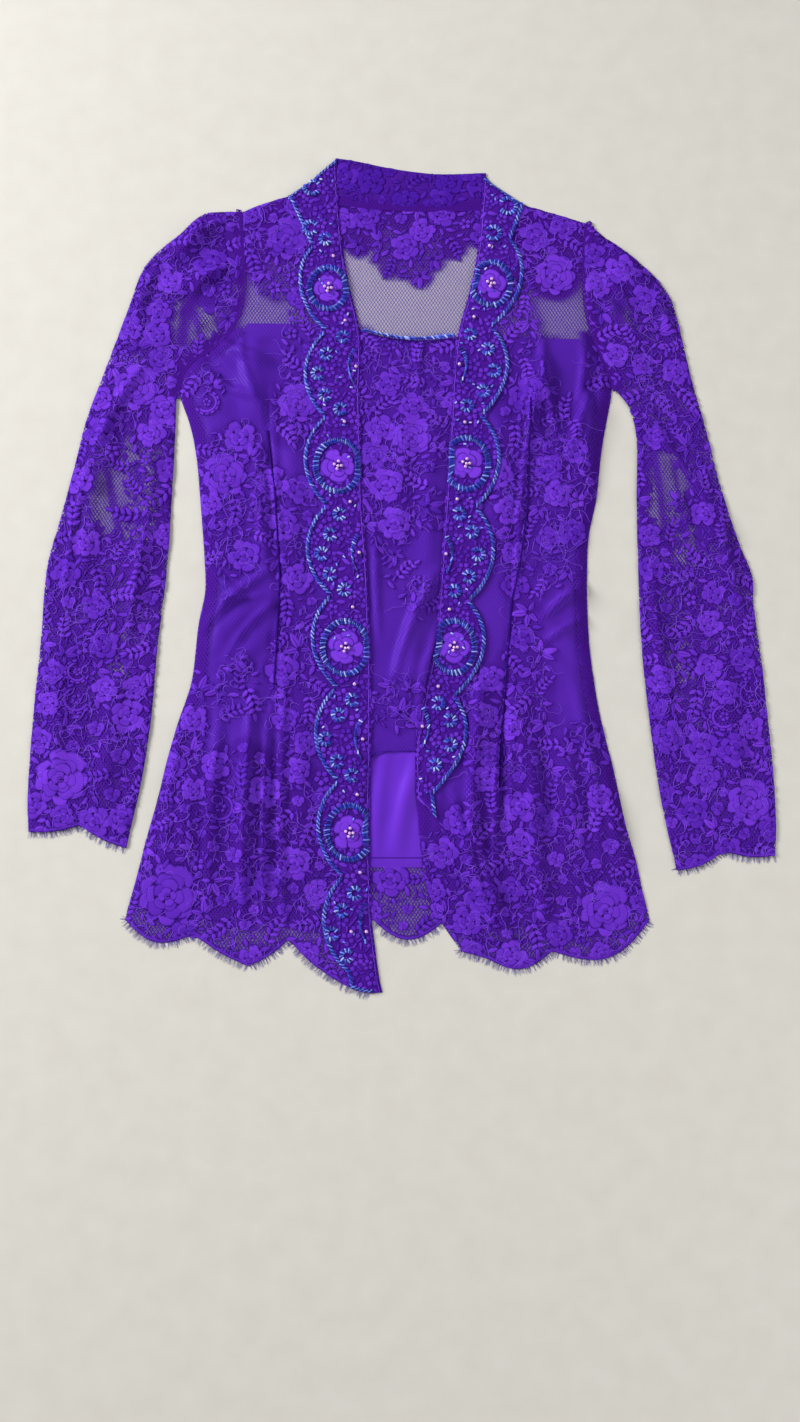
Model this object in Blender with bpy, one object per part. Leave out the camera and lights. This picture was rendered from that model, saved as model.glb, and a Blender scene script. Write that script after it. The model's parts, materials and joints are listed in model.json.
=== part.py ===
"""Lace kebaya blouse with a kutubaru centre panel, laid flat on its back with both fronts up.

World frame: metres, +X to the wearer's left (right as seen from above), +Y to the collar, +Z up,
origin on the surface below the middle of the garment's outline. The charts below are in
millimetres on the cutting table, whose zero is OUTLINE_MIDDLE away from that origin.
"""
import bpy
import bmesh
from math import ceil, cos, floor, hypot, pi, sin
from mathutils import Vector
from mathutils.geometry import delaunay_2d_cdt

MM = 0.001                   # one chart unit in metres
OUTLINE_MIDDLE = (1.0, 18.6)   # middle of the outline's box on the charts

# Cloth and seams
WALL = 1.0                   # thickness of one layer of cloth
SEAM_GAP = 0.3               # gap between layers and at seams
LAYER = WALL + SEAM_GAP
COLLAR_THICKNESS = 2.2       # the stand is folded double
ROPE_DIAMETER = 3.4

# Overlaps, all measured in the plane of the cloth
LINING_INSET = 12.0          # linings stop this far inside the side seams and armholes
BAND_OVERLAP = 9.0           # a front's cut edge lies this far behind its band's inner edge
PANEL_OVERLAP = 8.0          # the kutubaru reaches this far under both bands
SLEEVE_GAP = 0.8             # sleeve head to armhole seam
COLLAR_GAP = 0.5             # collar ends and yoke seam to the pieces beside them
ROPE_CLEARANCE = 1.0         # rope ends to the bands' inner edges

# Heights of the straight cut edges
LINING_TOP_LEFT = 258.0
LINING_TOP_RIGHT = 244.0
FRONT_LINING_HEM = -243.0
BACK_LINING_TOP = 226.0
BACK_LINING_HEM = -273.0

# Scallops along the bands' outer edges
LOBE_DEPTH = 20.0            # how far a lobe stands out from the line of its cusps
LOBE_ROUNDNESS = 0.75        # 1 is a sine arch, less is fuller
LEFT_LOBE, LEFT_CUSPS = 88.5, (338.0, -369.5)    # lobe length, first and last cusp
RIGHT_LOBE, RIGHT_CUSPS = 92.0, (347.0, -205.0)
RIGHT_BAND_TIP = (33.0, -229.0)
RIGHT_BAND_END = -208.0      # where the right band leaves the front's edge, above its tip

# Heights of places along the fronts' lines
FOLD_TOP, FOLD_BOTTOM = -186.0, -199.0    # where the right front's cut edge meets its folded edge
ARMHOLE_LEFT = (372.0, 200.0)             # top and foot of the armhole
ARMHOLE_RIGHT = (364.0, 200.0)

# Eyelash fringe
FRINGE_STRIP = 1.6           # width of the strip that holds the roots
FRINGE_GAP = 0.5             # strip to hem
FRINGE_LENGTH = 6.0
FRINGE_THICKNESS = 0.7
FRINGE_LIFT = 0.3            # lowest point above the table
TIP_LIFT = 0.1               # a lock's tip above its underside
HEM_LOCK, BACK_LOCK = 5.6, 7.2   # spacing of the locks

# Mesh density
STEP = 13.0                  # along cut edges
CUT_STEP = 18.0              # along the linings' straight cuts
LOBE_STEP = 11.0             # along the bands' scallops
GRID = 21.0                  # inside the panels
CLEARANCE = 8.0              # inner points keep this far from others
WELD = 0.01                  # points closer than this are one
FOLD_ENDS = 0.6              # how bluntly a fold runs out: 1 is a sine arch, less is blunter


def table(columns, *rows):
    """A chart with named columns, as a dict of lists."""
    return {name: [row[i] for row in rows] for i, name in enumerate(columns.split())}


# Vertical lines of the left front: side seam with armhole, cusps of the band, band's inner edge
LEFT = table(
    "y      seam   cusp  inner",
    (435,  -161,  -104,  -66),
    (373,  -161,   -97,  -62),
    (333,  -158,   -90,  -58),
    (292,  -156,   -82,  -51),
    (260,  -163,   -78,  -43),
    (235,  -183,   -77,  -40),
    (214,  -212,   -77,  -40),
    (193,  -219,   -77,  -41),
    (153,  -206,   -77,  -40),
    (118,  -199,   -76,  -39),
    (78,   -195,   -75,  -38),
    (24,   -190,   -73,  -34),
    (-10,  -188,   -71,  -32),
    (-40,  -194,   -69,  -31),
    (-97,  -199,   -65,  -29),
    (-135, -211,   -64,  -29),
    (-173, -221,   -63,  -29),
    (-210, -229,   -62,  -30),
    (-248, -239,   -60,  -30),
    (-284, -247,   -58,  -29),
    (-321, -256,   -55,  -28),
    (-345, -258,   -53,  -25),
    (-375, -258,   -50,  -21),
    (-392, -258,   -48,  -17),
)

# The same lines of the right front; its lower front edge is folded under, along the inner line
RIGHT = table(
    "y      seam   cusp  inner",
    (435,   188,   128,   83),
    (373,   186,   114,   79),
    (333,   181,   107,   75),
    (292,   181,    98,   67),
    (260,   185,    91,   58),
    (235,   193,    88,   53),
    (214,   202,    86,   51),
    (195,   207,    83,   49),
    (171,   203,    80,   48),
    (130,   195,    77,   45),
    (80,    189,    74,   42),
    (40,    180,    71,   39),
    (-19,   178,    66,   35),
    (-58,   179,    61,   32),
    (-97,   183,    54,   24),
    (-135,  189,    47,   17),
    (-165,  196,    39,   12),
    (-201,  204,    30,   13),
    (-229,  209,    34,   15),
    (-266,  219,    42,   18),
    (-303,  226,    54,   27),
    (-323,  231,    62,   36),
    (-350,  233,    74,   55),
    (-375,  233,    90,   70),
)

# Cut edges as arcs from corner to corner, left to right; sag is how far the arc to the next
# corner hangs below the straight line
SHOULDER_LEFT = table(
    "x      y      sag",
    (-161,  373,  -2.0),
    (-114,  391,  -0.5),     # outer corner of the band
    (-90,   408,  -1.0),
    (-75,   424,  -1.0),     # end of the front's lace
    (-66,   432,   0.0),     # inner corner of the band
)
SHOULDER_RIGHT = table(
    "x      y      sag",
    (81,    418,   0.0),
    (90,    407,   0.0),     # end of the front's lace
    (123,   384,  -0.5),     # outer corner of the band
    (186,   365,   0.0),
)
HEM_LEFT = table(
    "x      y      sag",
    (-256, -321,  15.0),
    (-193, -334,   2.5),
    (-142, -363,   3.0),
    (-105, -339,   4.0),
    (-48,  -383,   1.0),     # outer corner of the band
    (-29,  -388,   0.0),     # end of the front's lace
    (-18,  -387,   0.0),     # inner corner of the band
)
HEM_RIGHT = table(
    "x      y      sag",
    (55,   -350,   0.0),
    (78,   -356,  14.0),
    (139,  -350,  22.0),
    (231,  -321,   0.0),
)
HEM_BACK = table(
    "x      y      sag",
    (-247, -300,  14.0),
    (-192, -318,   8.0),
    (-110, -322,   8.0),
    (-30,  -318,  21.0),     # the scallop that shows between the fronts
    (40,   -322,  18.0),
    (138,  -334,  18.0),
    (222,  -304,   0.0),
)
BACK_SHOULDER_LEFT = table(
    "x      y",
    (-110,  391),
    (-63,   386),
)
BACK_SHOULDER_RIGHT = table(
    "x      y",
    (81,    382),
    (120,   383),
)
NECK_SEAM = table(
    "x      y      sag",
    (-62,   386,   4.5),
    (80,    382,   0.0),
)
COLLAR_TOP = table(
    "x      y      sag",
    (-61,   433,   0.0),
    (-42,   430,   2.0),
    (38,    416,   0.0),
    (79,    418,   0.0),
)
KUTUBARU_TOP = table(
    "x      y      sag",
    (-48,   251,   0.0),
    (-38,   250,   6.0),
    (51,    245,   0.0),
    (61,    246,   0.0),
)
KUTUBARU_HEM = table(
    "x      y      sag",
    (-37,  -177,   0.0),
    (-21,  -165,   0.0),
    (20,   -164,   0.0),
)

# Sleeves: the folded outer edge, the folded inner edge, and the scalloped cuff
SLEEVE_LEFT_OUTER = table(
    "x      y",
    (-162,  374), (-198, 372), (-220, 350), (-243, 331), (-256, 314), (-264, 290), (-277, 249),
    (-299,  183), (-308, 155), (-316, 115), (-331,  50), (-340,  10), (-343, -59), (-347, -120),
    (-350, -200), (-348, -240),
)
SLEEVE_LEFT_INNER = table(
    "x      y",
    (-220,  192), (-221, 130), (-223,  68), (-225,  14), (-232, -59), (-237, -135), (-245, -196),
    (-257, -255),
)
CUFF_LEFT = table(
    "x      y      sag",
    (-348, -240,   3.0),
    (-300, -234,   3.0),
    (-257, -255,   0.0),
)
SLEEVE_RIGHT_OUTER = table(
    "x      y",
    (187,   365), (201, 351), (222, 337), (250, 311), (264, 293), (272, 270), (285, 204),
    (298,   151), (311,  92), (327,  36), (339,   4), (338, -19), (344, -77), (347, -120),
    (351,  -180), (352, -229), (350, -262),
)
SLEEVE_RIGHT_INNER = table(
    "x      y",
    (208,   193), (224, 173), (230, 140), (228,  80), (228,  20), (229, -58), (235, -135),
    (244,  -210), (257, -276),
)
CUFF_RIGHT = table(
    "x      y      sag",
    (257,  -276,   5.0),
    (302,  -257,   4.5),
    (350,  -262,   0.0),
)

# Largest folds, each a soft ridge along a line: ends, half width and height
FRONT_FOLDS = table(
    "x0     y0     x1     y1    half  height",
    (-150,  245,  -138,  150,   22,   6.0),    # left bust
    (-206,  200,  -166,  146,   10,   3.5),
    (-180,  186,  -140,  112,    9,   3.0),
    (-134,  150,  -131,  -40,   12,   3.0),    # along the left dart
    (-108,  196,  -106,  -30,   14,   3.5),
    (-125,   -8,  -186,  -66,   13,   4.5),    # left waist
    (-124,  -44,  -180, -112,   12,   4.0),
    (-146, -118,  -142, -292,   19,   6.5),    # left peplum
    (-196, -172,  -210, -296,   18,   5.0),
    (-96,  -112,   -97, -300,   15,   4.5),
    (136,   234,   124,  132,   13,   8.0),    # right bust
    (184,   200,   172,   92,   13,   7.0),
    (155,   150,   152,   52,    8,   3.0),
    (99,    186,    94,   30,   12,   3.5),
    (170,   -17,   117,   -4,   10,   4.0),    # right waist
    (172,   -66,   122,  -30,   11,   4.5),
    (170,  -106,   132,  -66,    9,   3.0),
    (76,    -90,    79, -214,   13,   6.0),    # right peplum
    (110,  -104,   117, -258,   13,   8.0),
    (150,  -132,   163, -268,   18,   6.5),
    (190,  -176,   206, -282,   12,   5.0),
    (44,   -240,    90, -306,   12,   5.5),
    (130,  -268,   133, -330,   11,   3.5),
    (3,     206,    -4,   30,   14,   3.5),    # kutubaru
    (32,    186,    22,  -20,   11,   4.5),
    (26,     20,    -5, -150,   12,   6.0),
)
SLEEVE_LEFT_FOLDS = table(
    "x0     y0     x1     y1    half  height",
    (-188,  358,  -236,  316,   12,   8.0),    # gathered head
    (-176,  322,  -230,  280,   10,   6.0),
    (-180,  276,  -216,  238,    9,   5.0),
    (-284,  180,  -308,   -8,   15,   5.5),
    (-240,  160,  -256,  -58,   12,   4.5),
    (-322,  -40,  -325, -205,   14,   4.5),
    (-268,  -80,  -280, -222,   14,   4.0),
)
SLEEVE_RIGHT_FOLDS = table(
    "x0     y0     x1     y1    half  height",
    (200,   326,   252,  292,   12,   8.0),    # gathered head
    (198,   286,   238,  240,   10,   6.0),
    (212,   244,   248,  186,    9,   5.0),
    (244,   140,   290,   22,   11,   4.5),
    (284,   112,   318,  -16,   14,   5.5),
    (246,   -20,   256, -172,   12,   4.5),
    (308,   -72,   318, -226,   15,   5.0),
)


def at(chart, column, y):
    """Reads a chart's column at height y, smoothly and without overshoot."""
    ys = chart["y"]
    xs = chart[column]
    slopes = [(xs[i + 1] - xs[i]) / (ys[i + 1] - ys[i]) for i in range(len(ys) - 1)]

    def tangent(i):
        if i == 0 or i == len(ys) - 1:
            return slopes[min(i, len(slopes) - 1)]
        a, b = slopes[i - 1], slopes[i]
        return 2 * a * b / (a + b) if a * b > 0 else 0.0

    i = next((k for k in range(len(slopes)) if ys[k + 1] <= y), len(slopes) - 1)
    span = ys[i + 1] - ys[i]
    t = min(max((y - ys[i]) / span, 0.0), 1.0)
    rise = xs[i] * (1 + 2 * t) * (1 - t) ** 2 + xs[i + 1] * t * t * (3 - 2 * t)
    return rise + span * (tangent(i) * t * (1 - t) ** 2 - tangent(i + 1) * t * t * (1 - t))


def arcs(edge, first=0, last=None, step=STEP):
    """Points along a cut edge from corner first to corner last."""
    xs, ys, sags = edge["x"], edge["y"], edge["sag"]
    last = len(xs) - 1 if last is None else last
    points = []
    for i in range(first, last):
        dx, dy = xs[i + 1] - xs[i], ys[i + 1] - ys[i]
        length = hypot(dx, dy)
        count = max(1, ceil(length / step))
        for k in range(count):
            t = k / count
            out = sags[i] * sin(pi * t)
            points.append((xs[i] + dx * t + out * dy / length, ys[i] + dy * t - out * dx / length))
    points.append((xs[last], ys[last]))
    return points


def line(chart, column, top, bottom, shift=0.0):
    """Points down a chart's line between two heights, moved sideways by shift.

    Every line has its points on the same ladder of heights, so lines that run together share them.
    """
    straight_cuts = {LINING_TOP_LEFT, LINING_TOP_RIGHT, FRONT_LINING_HEM, BACK_LINING_TOP, BACK_LINING_HEM}
    ladder = {STEP * k for k in range(floor(bottom / STEP), ceil(top / STEP) + 1)} | straight_cuts
    heights = [top] + sorted((y for y in ladder if bottom < y < top), reverse=True) + [bottom]
    return [(at(chart, column, y) + shift, y) for y in heights]


def lobes(chart, side, lobe, cusps):
    """The band's scalloped edge from its first cusp down to its last."""
    first, last = cusps
    per_lobe = ceil(lobe / LOBE_STEP)
    steps = round((first - last) / lobe) * per_lobe
    points = []
    for k in range(steps + 1):
        y = first + (last - first) * k / steps
        out = LOBE_DEPTH * abs(sin(pi * k / per_lobe)) ** LOBE_ROUNDNESS
        points.append((at(chart, "cusp", y) + side * out, y))
    return points


def through(chart, step=STEP):
    """Points along an open line through a chart's own points, rounded at each of them."""
    known = [Vector(p) for p in zip(chart["x"], chart["y"])]
    known = [2 * known[0] - known[1]] + known + [2 * known[-1] - known[-2]]
    points = []
    for a, b, c, d in zip(known, known[1:], known[2:], known[3:]):
        count = max(1, ceil((c - b).length / step))
        for k in range(count):
            t = k / count
            bend, twist = 2 * a - 5 * b + 4 * c - d, 3 * b - a - 3 * c + d
            points.append(tuple((2 * b + (c - a) * t + bend * t ** 2 + twist * t ** 3) / 2))
    points.append(tuple(known[-2]))
    return points


def moved(points, distance):
    """A line of points moved to the right of its own direction."""
    shifted = []
    for i, (x, y) in enumerate(points):
        x0, y0 = points[max(i - 1, 0)]
        x1, y1 = points[min(i + 1, len(points) - 1)]
        length = hypot(x1 - x0, y1 - y0)
        shifted.append((x + distance * (y1 - y0) / length, y - distance * (x1 - x0) / length))
    return shifted


def joined(*runs):
    """A closed outline from runs of points, without the points that two runs share."""
    points = []
    for run in runs:
        for p in run:
            if not points or hypot(p[0] - points[-1][0], p[1] - points[-1][1]) > SEAM_GAP:
                points.append(tuple(p))
    if hypot(points[0][0] - points[-1][0], points[0][1] - points[-1][1]) <= SEAM_GAP:
        points.pop()
    return points


def between(points, top, bottom):
    """The stretch of a line that lies between two heights."""
    return [p for p in points if bottom <= p[1] <= top]


def panel(left_line, right_line, top, bottom):
    """A piece between two lines, with straight cuts at its top and bottom."""
    left_run, right_run = between(left_line, top, bottom), between(right_line, top, bottom)

    def cut(y, start, end):
        places = [CUT_STEP * k for k in range(ceil(start / CUT_STEP), floor(end / CUT_STEP) + 1)]
        return [(x, y) for x in places if start + CLEARANCE < x < end - CLEARANCE]

    return joined(
        left_run, cut(bottom, left_run[-1][0], right_run[-1][0]),
        right_run[::-1], cut(top, left_run[0][0], right_run[0][0])[::-1])


def fold_height(folds, x, y):
    """Height of the cloth above its flat lie, from the ridges in a chart of folds."""
    total = 0.0
    for x0, y0, x1, y1, half, height in zip(*folds.values()):
        dx, dy = x1 - x0, y1 - y0
        length = hypot(dx, dy)
        t = ((x - x0) * dx + (y - y0) * dy) / length ** 2
        across = abs((x - x0) * dy - (y - y0) * dx) / length
        if 0 < t < 1 and across < half:
            total += (height * cos(pi * across / (2 * half)) ** 2 * sin(pi * t) ** FOLD_ENDS) ** 2
    return total ** 0.5


def fold_points(folds):
    """Points on the crest and the feet of each ridge, so that the mesh follows it."""
    points = []
    for x0, y0, x1, y1, half, _ in zip(*folds.values()):
        length = hypot(x1 - x0, y1 - y0)
        count = max(2, round(length / GRID))
        nx, ny = (y1 - y0) / length, (x0 - x1) / length
        for k in range(count + 1):
            x, y = x0 + (x1 - x0) * k / count, y0 + (y1 - y0) * k / count
            points.append((x, y))
            if 0 < k < count:
                points.extend((x + nx * side * half, y + ny * side * half) for side in (-1, 1))
    return points


def closed_edges(outline):
    return zip(outline, outline[1:] + outline[:1])


def inside(outline, x, y):
    """Whether a point lies inside a closed outline."""
    found = False
    for (x0, y0), (x1, y1) in closed_edges(outline):
        if (y0 > y) != (y1 > y) and x < x0 + (y - y0) * (x1 - x0) / (y1 - y0):
            found = not found
    return found


def near(outline, x, y, distance):
    """Whether a point lies closer than distance to a closed outline."""
    for (x0, y0), (x1, y1) in closed_edges(outline):
        dx, dy = x1 - x0, y1 - y0
        t = min(max(((x - x0) * dx + (y - y0) * dy) / (dx * dx + dy * dy), 0.0), 1.0)
        if hypot(x - x0 - dx * t, y - y0 - dy * t) < distance:
            return True
    return False


def lay_out(outlines, folds):
    """One net of triangles that holds every outline, with points along the folds and on a grid.

    Returns the net's points, and for each outline its triangles and the set of their corners.
    """
    points, edges = [], []
    for outline in outlines.values():
        start = len(points)
        points.extend(outline)
        edges.extend((start + i, start + (i + 1) % len(outline)) for i in range(len(outline)))
    left, right = min(p[0] for p in points), max(p[0] for p in points)
    bottom, top = min(p[1] for p in points), max(p[1] for p in points)
    row_height = GRID * sin(pi / 3)
    candidates = fold_points(folds)
    for row in range(int((top - bottom) / row_height) + 1):
        start = left + row % 2 * GRID / 2
        for column in range(int((right - left) / GRID) + 1):
            candidates.append((start + column * GRID, bottom + row * row_height))
    inner = []
    for x, y in candidates:
        on_cloth = any(inside(outline, x, y) for outline in outlines.values())
        if not on_cloth or any(near(outline, x, y, CLEARANCE) for outline in outlines.values()):
            continue
        if all(hypot(x - p, y - q) > CLEARANCE for p, q in inner):
            inner.append((x, y))
    verts, _, faces, _, _, _ = delaunay_2d_cdt([Vector(p) for p in points + inner], edges, [], 0, WELD)
    net = [tuple(v) for v in verts]
    areas = {}
    for name, outline in outlines.items():
        held = []
        for face in faces:
            x = sum(net[i][0] for i in face) / 3
            y = sum(net[i][1] for i in face) / 3
            if inside(outline, x, y):
                held.append(face)
        areas[name] = (held, {i for face in held for i in face})
    return net, areas


def cloth_material(name, colour, roughness):
    material = bpy.data.materials.new(name)
    material.use_nodes = True
    shader = material.node_tree.nodes["Principled BSDF"]
    shader.inputs["Base Color"].default_value = (*colour, 1.0)
    shader.inputs["Roughness"].default_value = roughness
    shader.inputs["Metallic"].default_value = 0.0
    return material


def on_table(x, y, z):
    """A chart point in the world, in metres."""
    return Vector((x - OUTLINE_MIDDLE[0], y - OUTLINE_MIDDLE[1], z)) * MM


def add_object(name, bm, material):
    bmesh.ops.recalc_face_normals(bm, faces=bm.faces)
    mesh = bpy.data.meshes.new(name)
    bm.to_mesh(mesh)
    bm.free()
    mesh.materials.append(material)
    obj = bpy.data.objects.new(name, mesh)
    garment.objects.link(obj)
    return obj


def sheet(name, net, faces, lower_height, material, thickness=WALL):
    """A layer of cloth over the faces of a net, with its lower height from lower_height(corner)."""
    bm = bmesh.new()
    corners = {i for face in faces for i in face}
    lower = {i: bm.verts.new(on_table(*net[i], lower_height(i))) for i in sorted(corners)}
    flat = [bm.faces.new([lower[i] for i in face]) for face in faces]
    grown = bmesh.ops.extrude_face_region(bm, geom=flat, use_keep_orig=True)["geom"]
    raised = [g for g in grown if isinstance(g, bmesh.types.BMVert)]
    bmesh.ops.translate(bm, verts=raised, vec=(0, 0, thickness * MM))
    return add_object(name, bm, material)


def flat_sheet(name, outline, lower_height, material, thickness=WALL):
    """A layer that lies flat, with no points inside its outline."""
    edges = [(i, (i + 1) % len(outline)) for i in range(len(outline))]
    verts, _, faces, _, _, _ = delaunay_2d_cdt([Vector(p) for p in outline], edges, [], 1, WELD)
    return sheet(name, [tuple(v) for v in verts], faces, lambda i: lower_height, material, thickness)


def sleeve(name, outer, inner, cuff, armhole, folds, side, material):
    """A flattened tube, open at cuff and armhole, its two walls joined along the folded edges."""
    outer_edge, inner_edge = through(outer), through(inner)
    cuff_edge = arcs(cuff)
    if side > 0:
        cuff_edge.reverse()
    outline = joined(outer_edge, cuff_edge, inner_edge[::-1], armhole)

    def towards(start, end):
        length = hypot(end[0] - start[0], end[1] - start[1])
        return tuple(s + (e - s) * WALL / length for s, e in zip(start, end))

    outer_wall = moved(outer_edge, side * WALL)[1:-1]
    inner_wall = moved(inner_edge, -side * WALL)[1:-1]
    hollow = joined(
        [towards(outer_edge[0], armhole[-2])], outer_wall,
        [towards(cuff_edge[0], cuff_edge[1])], cuff_edge[1:-1],
        [towards(cuff_edge[-1], cuff_edge[-2])], inner_wall[::-1],
        [towards(inner_edge[0], armhole[1])], armhole[1:-1],
    )
    net, areas = lay_out({"cloth": outline, "hollow": hollow}, folds)
    cloth, corners = areas["cloth"]
    lined, hollow_corners = areas["hollow"]
    bm = bmesh.new()

    def level(indices, height, lifted):
        lift = (lambda i: fold_height(folds, *net[i])) if lifted else (lambda i: 0.0)
        return {i: bm.verts.new(on_table(*net[i], height + lift(i))) for i in sorted(indices)}

    under, over = level(corners, 0.0, False), level(corners, LAYER + WALL, True)
    floor_inside, roof_inside = level(hollow_corners, WALL, False), level(hollow_corners, LAYER, True)
    for faces, heights in ((cloth, (under, over)), (lined, (floor_inside, roof_inside))):
        for face in faces:
            for height in heights:
                bm.faces.new([height[i] for i in face])
    hollow_rim = rim(lined)
    for edge in rim(cloth):
        a, b = edge
        if edge in hollow_rim:
            bm.faces.new([under[a], under[b], floor_inside[b], floor_inside[a]])
            bm.faces.new([roof_inside[a], roof_inside[b], over[b], over[a]])
            hollow_rim.remove(edge)
            continue
        up_b = [floor_inside[b], roof_inside[b]] if b in hollow_corners else []
        down_a = [roof_inside[a], floor_inside[a]] if a in hollow_corners else []
        bm.faces.new([under[a], under[b], *up_b, over[b], over[a], *down_a])
    for a, b in hollow_rim:
        bm.faces.new([floor_inside[a], floor_inside[b], roof_inside[b], roof_inside[a]])
    return add_object(name, bm, material)


def rim(faces):
    """Edges that only one of the faces has, each as a sorted pair of corners."""
    count = {}
    for face in faces:
        for a, b in zip(face, face[1:] + face[:1]):
            edge = (min(a, b), max(a, b))
            count[edge] = count.get(edge, 0) + 1
    return {edge for edge, uses in count.items() if uses == 1}


def spaced(points, spacing):
    """The same line with more points, about one spacing apart."""
    result = []
    for (x0, y0), (x1, y1) in zip(points, points[1:]):
        count = max(1, round(hypot(x1 - x0, y1 - y0) / spacing))
        result.extend((x0 + (x1 - x0) * k / count, y0 + (y1 - y0) * k / count) for k in range(count))
    return result + [points[-1]]


def fringe(name, hem, spacing, material):
    """Tapered locks that stand out from a narrow strip along a hem, charted left to right."""
    hem = spaced(hem, spacing)
    near_line = moved(hem, FRINGE_GAP)
    far_line = moved(hem, FRINGE_GAP + FRINGE_STRIP)
    tip_line = moved(hem, FRINGE_GAP + FRINGE_STRIP + FRINGE_LENGTH)
    bm = bmesh.new()
    low, high = FRINGE_LIFT, FRINGE_LIFT + FRINGE_THICKNESS
    ring = []
    for (x0, y0), (x1, y1) in zip(near_line, far_line):
        corners = ((x0, y0, low), (x1, y1, low), (x1, y1, high), (x0, y0, high))
        ring.append([bm.verts.new(on_table(*corner)) for corner in corners])
    bm.faces.new(ring[0])
    bm.faces.new(ring[-1])
    for i, (a, b) in enumerate(zip(ring, ring[1:])):
        for side in (0, 2, 3):
            bm.faces.new([a[side], a[(side + 1) % 4], b[(side + 1) % 4], b[side]])
        (x0, y0), (x1, y1) = tip_line[i], tip_line[i + 1]
        tip = bm.verts.new(on_table((x0 + x1) / 2, (y0 + y1) / 2, low + TIP_LIFT))
        root = [a[1], b[1], b[2], a[2]]
        for corner, following in zip(root, root[1:] + root[:1]):
            bm.faces.new([corner, following, tip])
    return add_object(name, bm, material)


def rope(name, chart, left, right, height, material):
    """A round trim that lies along an edge between two places."""
    points = [p for p in arcs(chart, step=2 * ROPE_DIAMETER) if left < p[0] < right]
    curve = bpy.data.curves.new(name, "CURVE")
    curve.dimensions = "3D"
    curve.bevel_depth = ROPE_DIAMETER / 2 * MM
    curve.bevel_resolution = 1
    curve.use_fill_caps = True
    spline = curve.splines.new("POLY")
    spline.points.add(len(points) - 1)
    for point, (x, y) in zip(spline.points, points):
        point.co = (*on_table(x, y, height), 1.0)
    curve.materials.append(material)
    obj = bpy.data.objects.new(name, curve)
    garment.objects.link(obj)
    return obj


for old in list(bpy.data.objects):
    bpy.data.objects.remove(old)
garment = bpy.data.collections.new("lace_kebaya")
bpy.context.scene.collection.children.link(garment)

lace = cloth_material("lace", (0.075, 0.018, 0.42), 0.75)
under_lace = cloth_material("back_lace", (0.05, 0.012, 0.30), 0.8)
satin = cloth_material("satin_lining", (0.09, 0.02, 0.48), 0.35)
band_lace = cloth_material("band_lace", (0.055, 0.012, 0.30), 0.7)
beads = cloth_material("rope_beads", (0.02, 0.03, 0.35), 0.2)
lashes = cloth_material("fringe_thread", (0.04, 0.012, 0.22), 0.85)

# Lines of the left front
left_cut = line(LEFT, "inner", SHOULDER_LEFT["y"][3], HEM_LEFT["y"][5], -BAND_OVERLAP)[1:-1]
left_edge = line(LEFT, "inner", SHOULDER_LEFT["y"][4], HEM_LEFT["y"][6])[1:-1]
left_seam = line(LEFT, "seam", SHOULDER_LEFT["y"][0], HEM_LEFT["y"][0])
left_lobes = lobes(LEFT, -1, LEFT_LOBE, LEFT_CUSPS)

# Lines of the right front, whose lace meets the fold below the band's end
right_cut = line(RIGHT, "inner", SHOULDER_RIGHT["y"][1], FOLD_TOP, BAND_OVERLAP)[1:]
right_fold = line(RIGHT, "inner", FOLD_BOTTOM, HEM_RIGHT["y"][0])[:-1]
right_edge = line(RIGHT, "inner", SHOULDER_RIGHT["y"][0], RIGHT_BAND_END)[1:]
right_seam = line(RIGHT, "seam", SHOULDER_RIGHT["y"][3], HEM_RIGHT["y"][3])
right_lobes = lobes(RIGHT, 1, RIGHT_LOBE, RIGHT_CUSPS)

# Lines of the linings
lining_left = line(LEFT, "seam", LINING_TOP_LEFT, BACK_LINING_HEM, LINING_INSET)
lining_right = line(RIGHT, "seam", LINING_TOP_RIGHT, BACK_LINING_HEM, -LINING_INSET)


OUTLINES = {
    "front_left": joined(
        arcs(SHOULDER_LEFT, 0, 3), left_cut, arcs(HEM_LEFT, 0, 5)[::-1], left_seam[::-1]),
    "front_right": joined(
        arcs(SHOULDER_RIGHT, 1, 3), right_seam, arcs(HEM_RIGHT)[::-1], right_fold[::-1], right_cut[::-1]),
    "band_left": joined(
        arcs(SHOULDER_LEFT, 1, 4), left_edge, arcs(HEM_LEFT, 4, 6)[::-1], left_lobes[::-1]),
    "band_right": joined(
        arcs(SHOULDER_RIGHT, 0, 2), right_lobes, [RIGHT_BAND_TIP], right_edge[::-1]),
    "front_lining_left": panel(lining_left, left_cut, LINING_TOP_LEFT, FRONT_LINING_HEM),
    "front_lining_right": panel(right_cut + right_fold, lining_right, LINING_TOP_RIGHT, FRONT_LINING_HEM),
    "back_lining": panel(lining_left, lining_right, BACK_LINING_TOP, BACK_LINING_HEM),
    "kutubaru": joined(
        arcs(KUTUBARU_TOP), line(RIGHT, "inner", KUTUBARU_TOP["y"][3], KUTUBARU_HEM["y"][2], PANEL_OVERLAP),
        arcs(KUTUBARU_HEM)[::-1],
        line(LEFT, "inner", KUTUBARU_TOP["y"][0], KUTUBARU_HEM["y"][0], -PANEL_OVERLAP)[::-1]),
}
STACK = (
    ("back_lining",),
    ("front_lining_left", "front_lining_right", "kutubaru"),
    ("front_left", "front_right", "kutubaru"),
    ("band_left", "band_right"),
)

net, areas = lay_out(OUTLINES, FRONT_FOLDS)


def resting_on(layer):
    """Lower height of a layer at a corner of the net: on the layers below it there, plus the folds."""
    def height(i):
        below = sum(any(i in areas[name][1] for name in names) for names in STACK[:layer])
        return LAYER * (1 + below) + fold_height(FRONT_FOLDS, *net[i])
    return height


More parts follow.
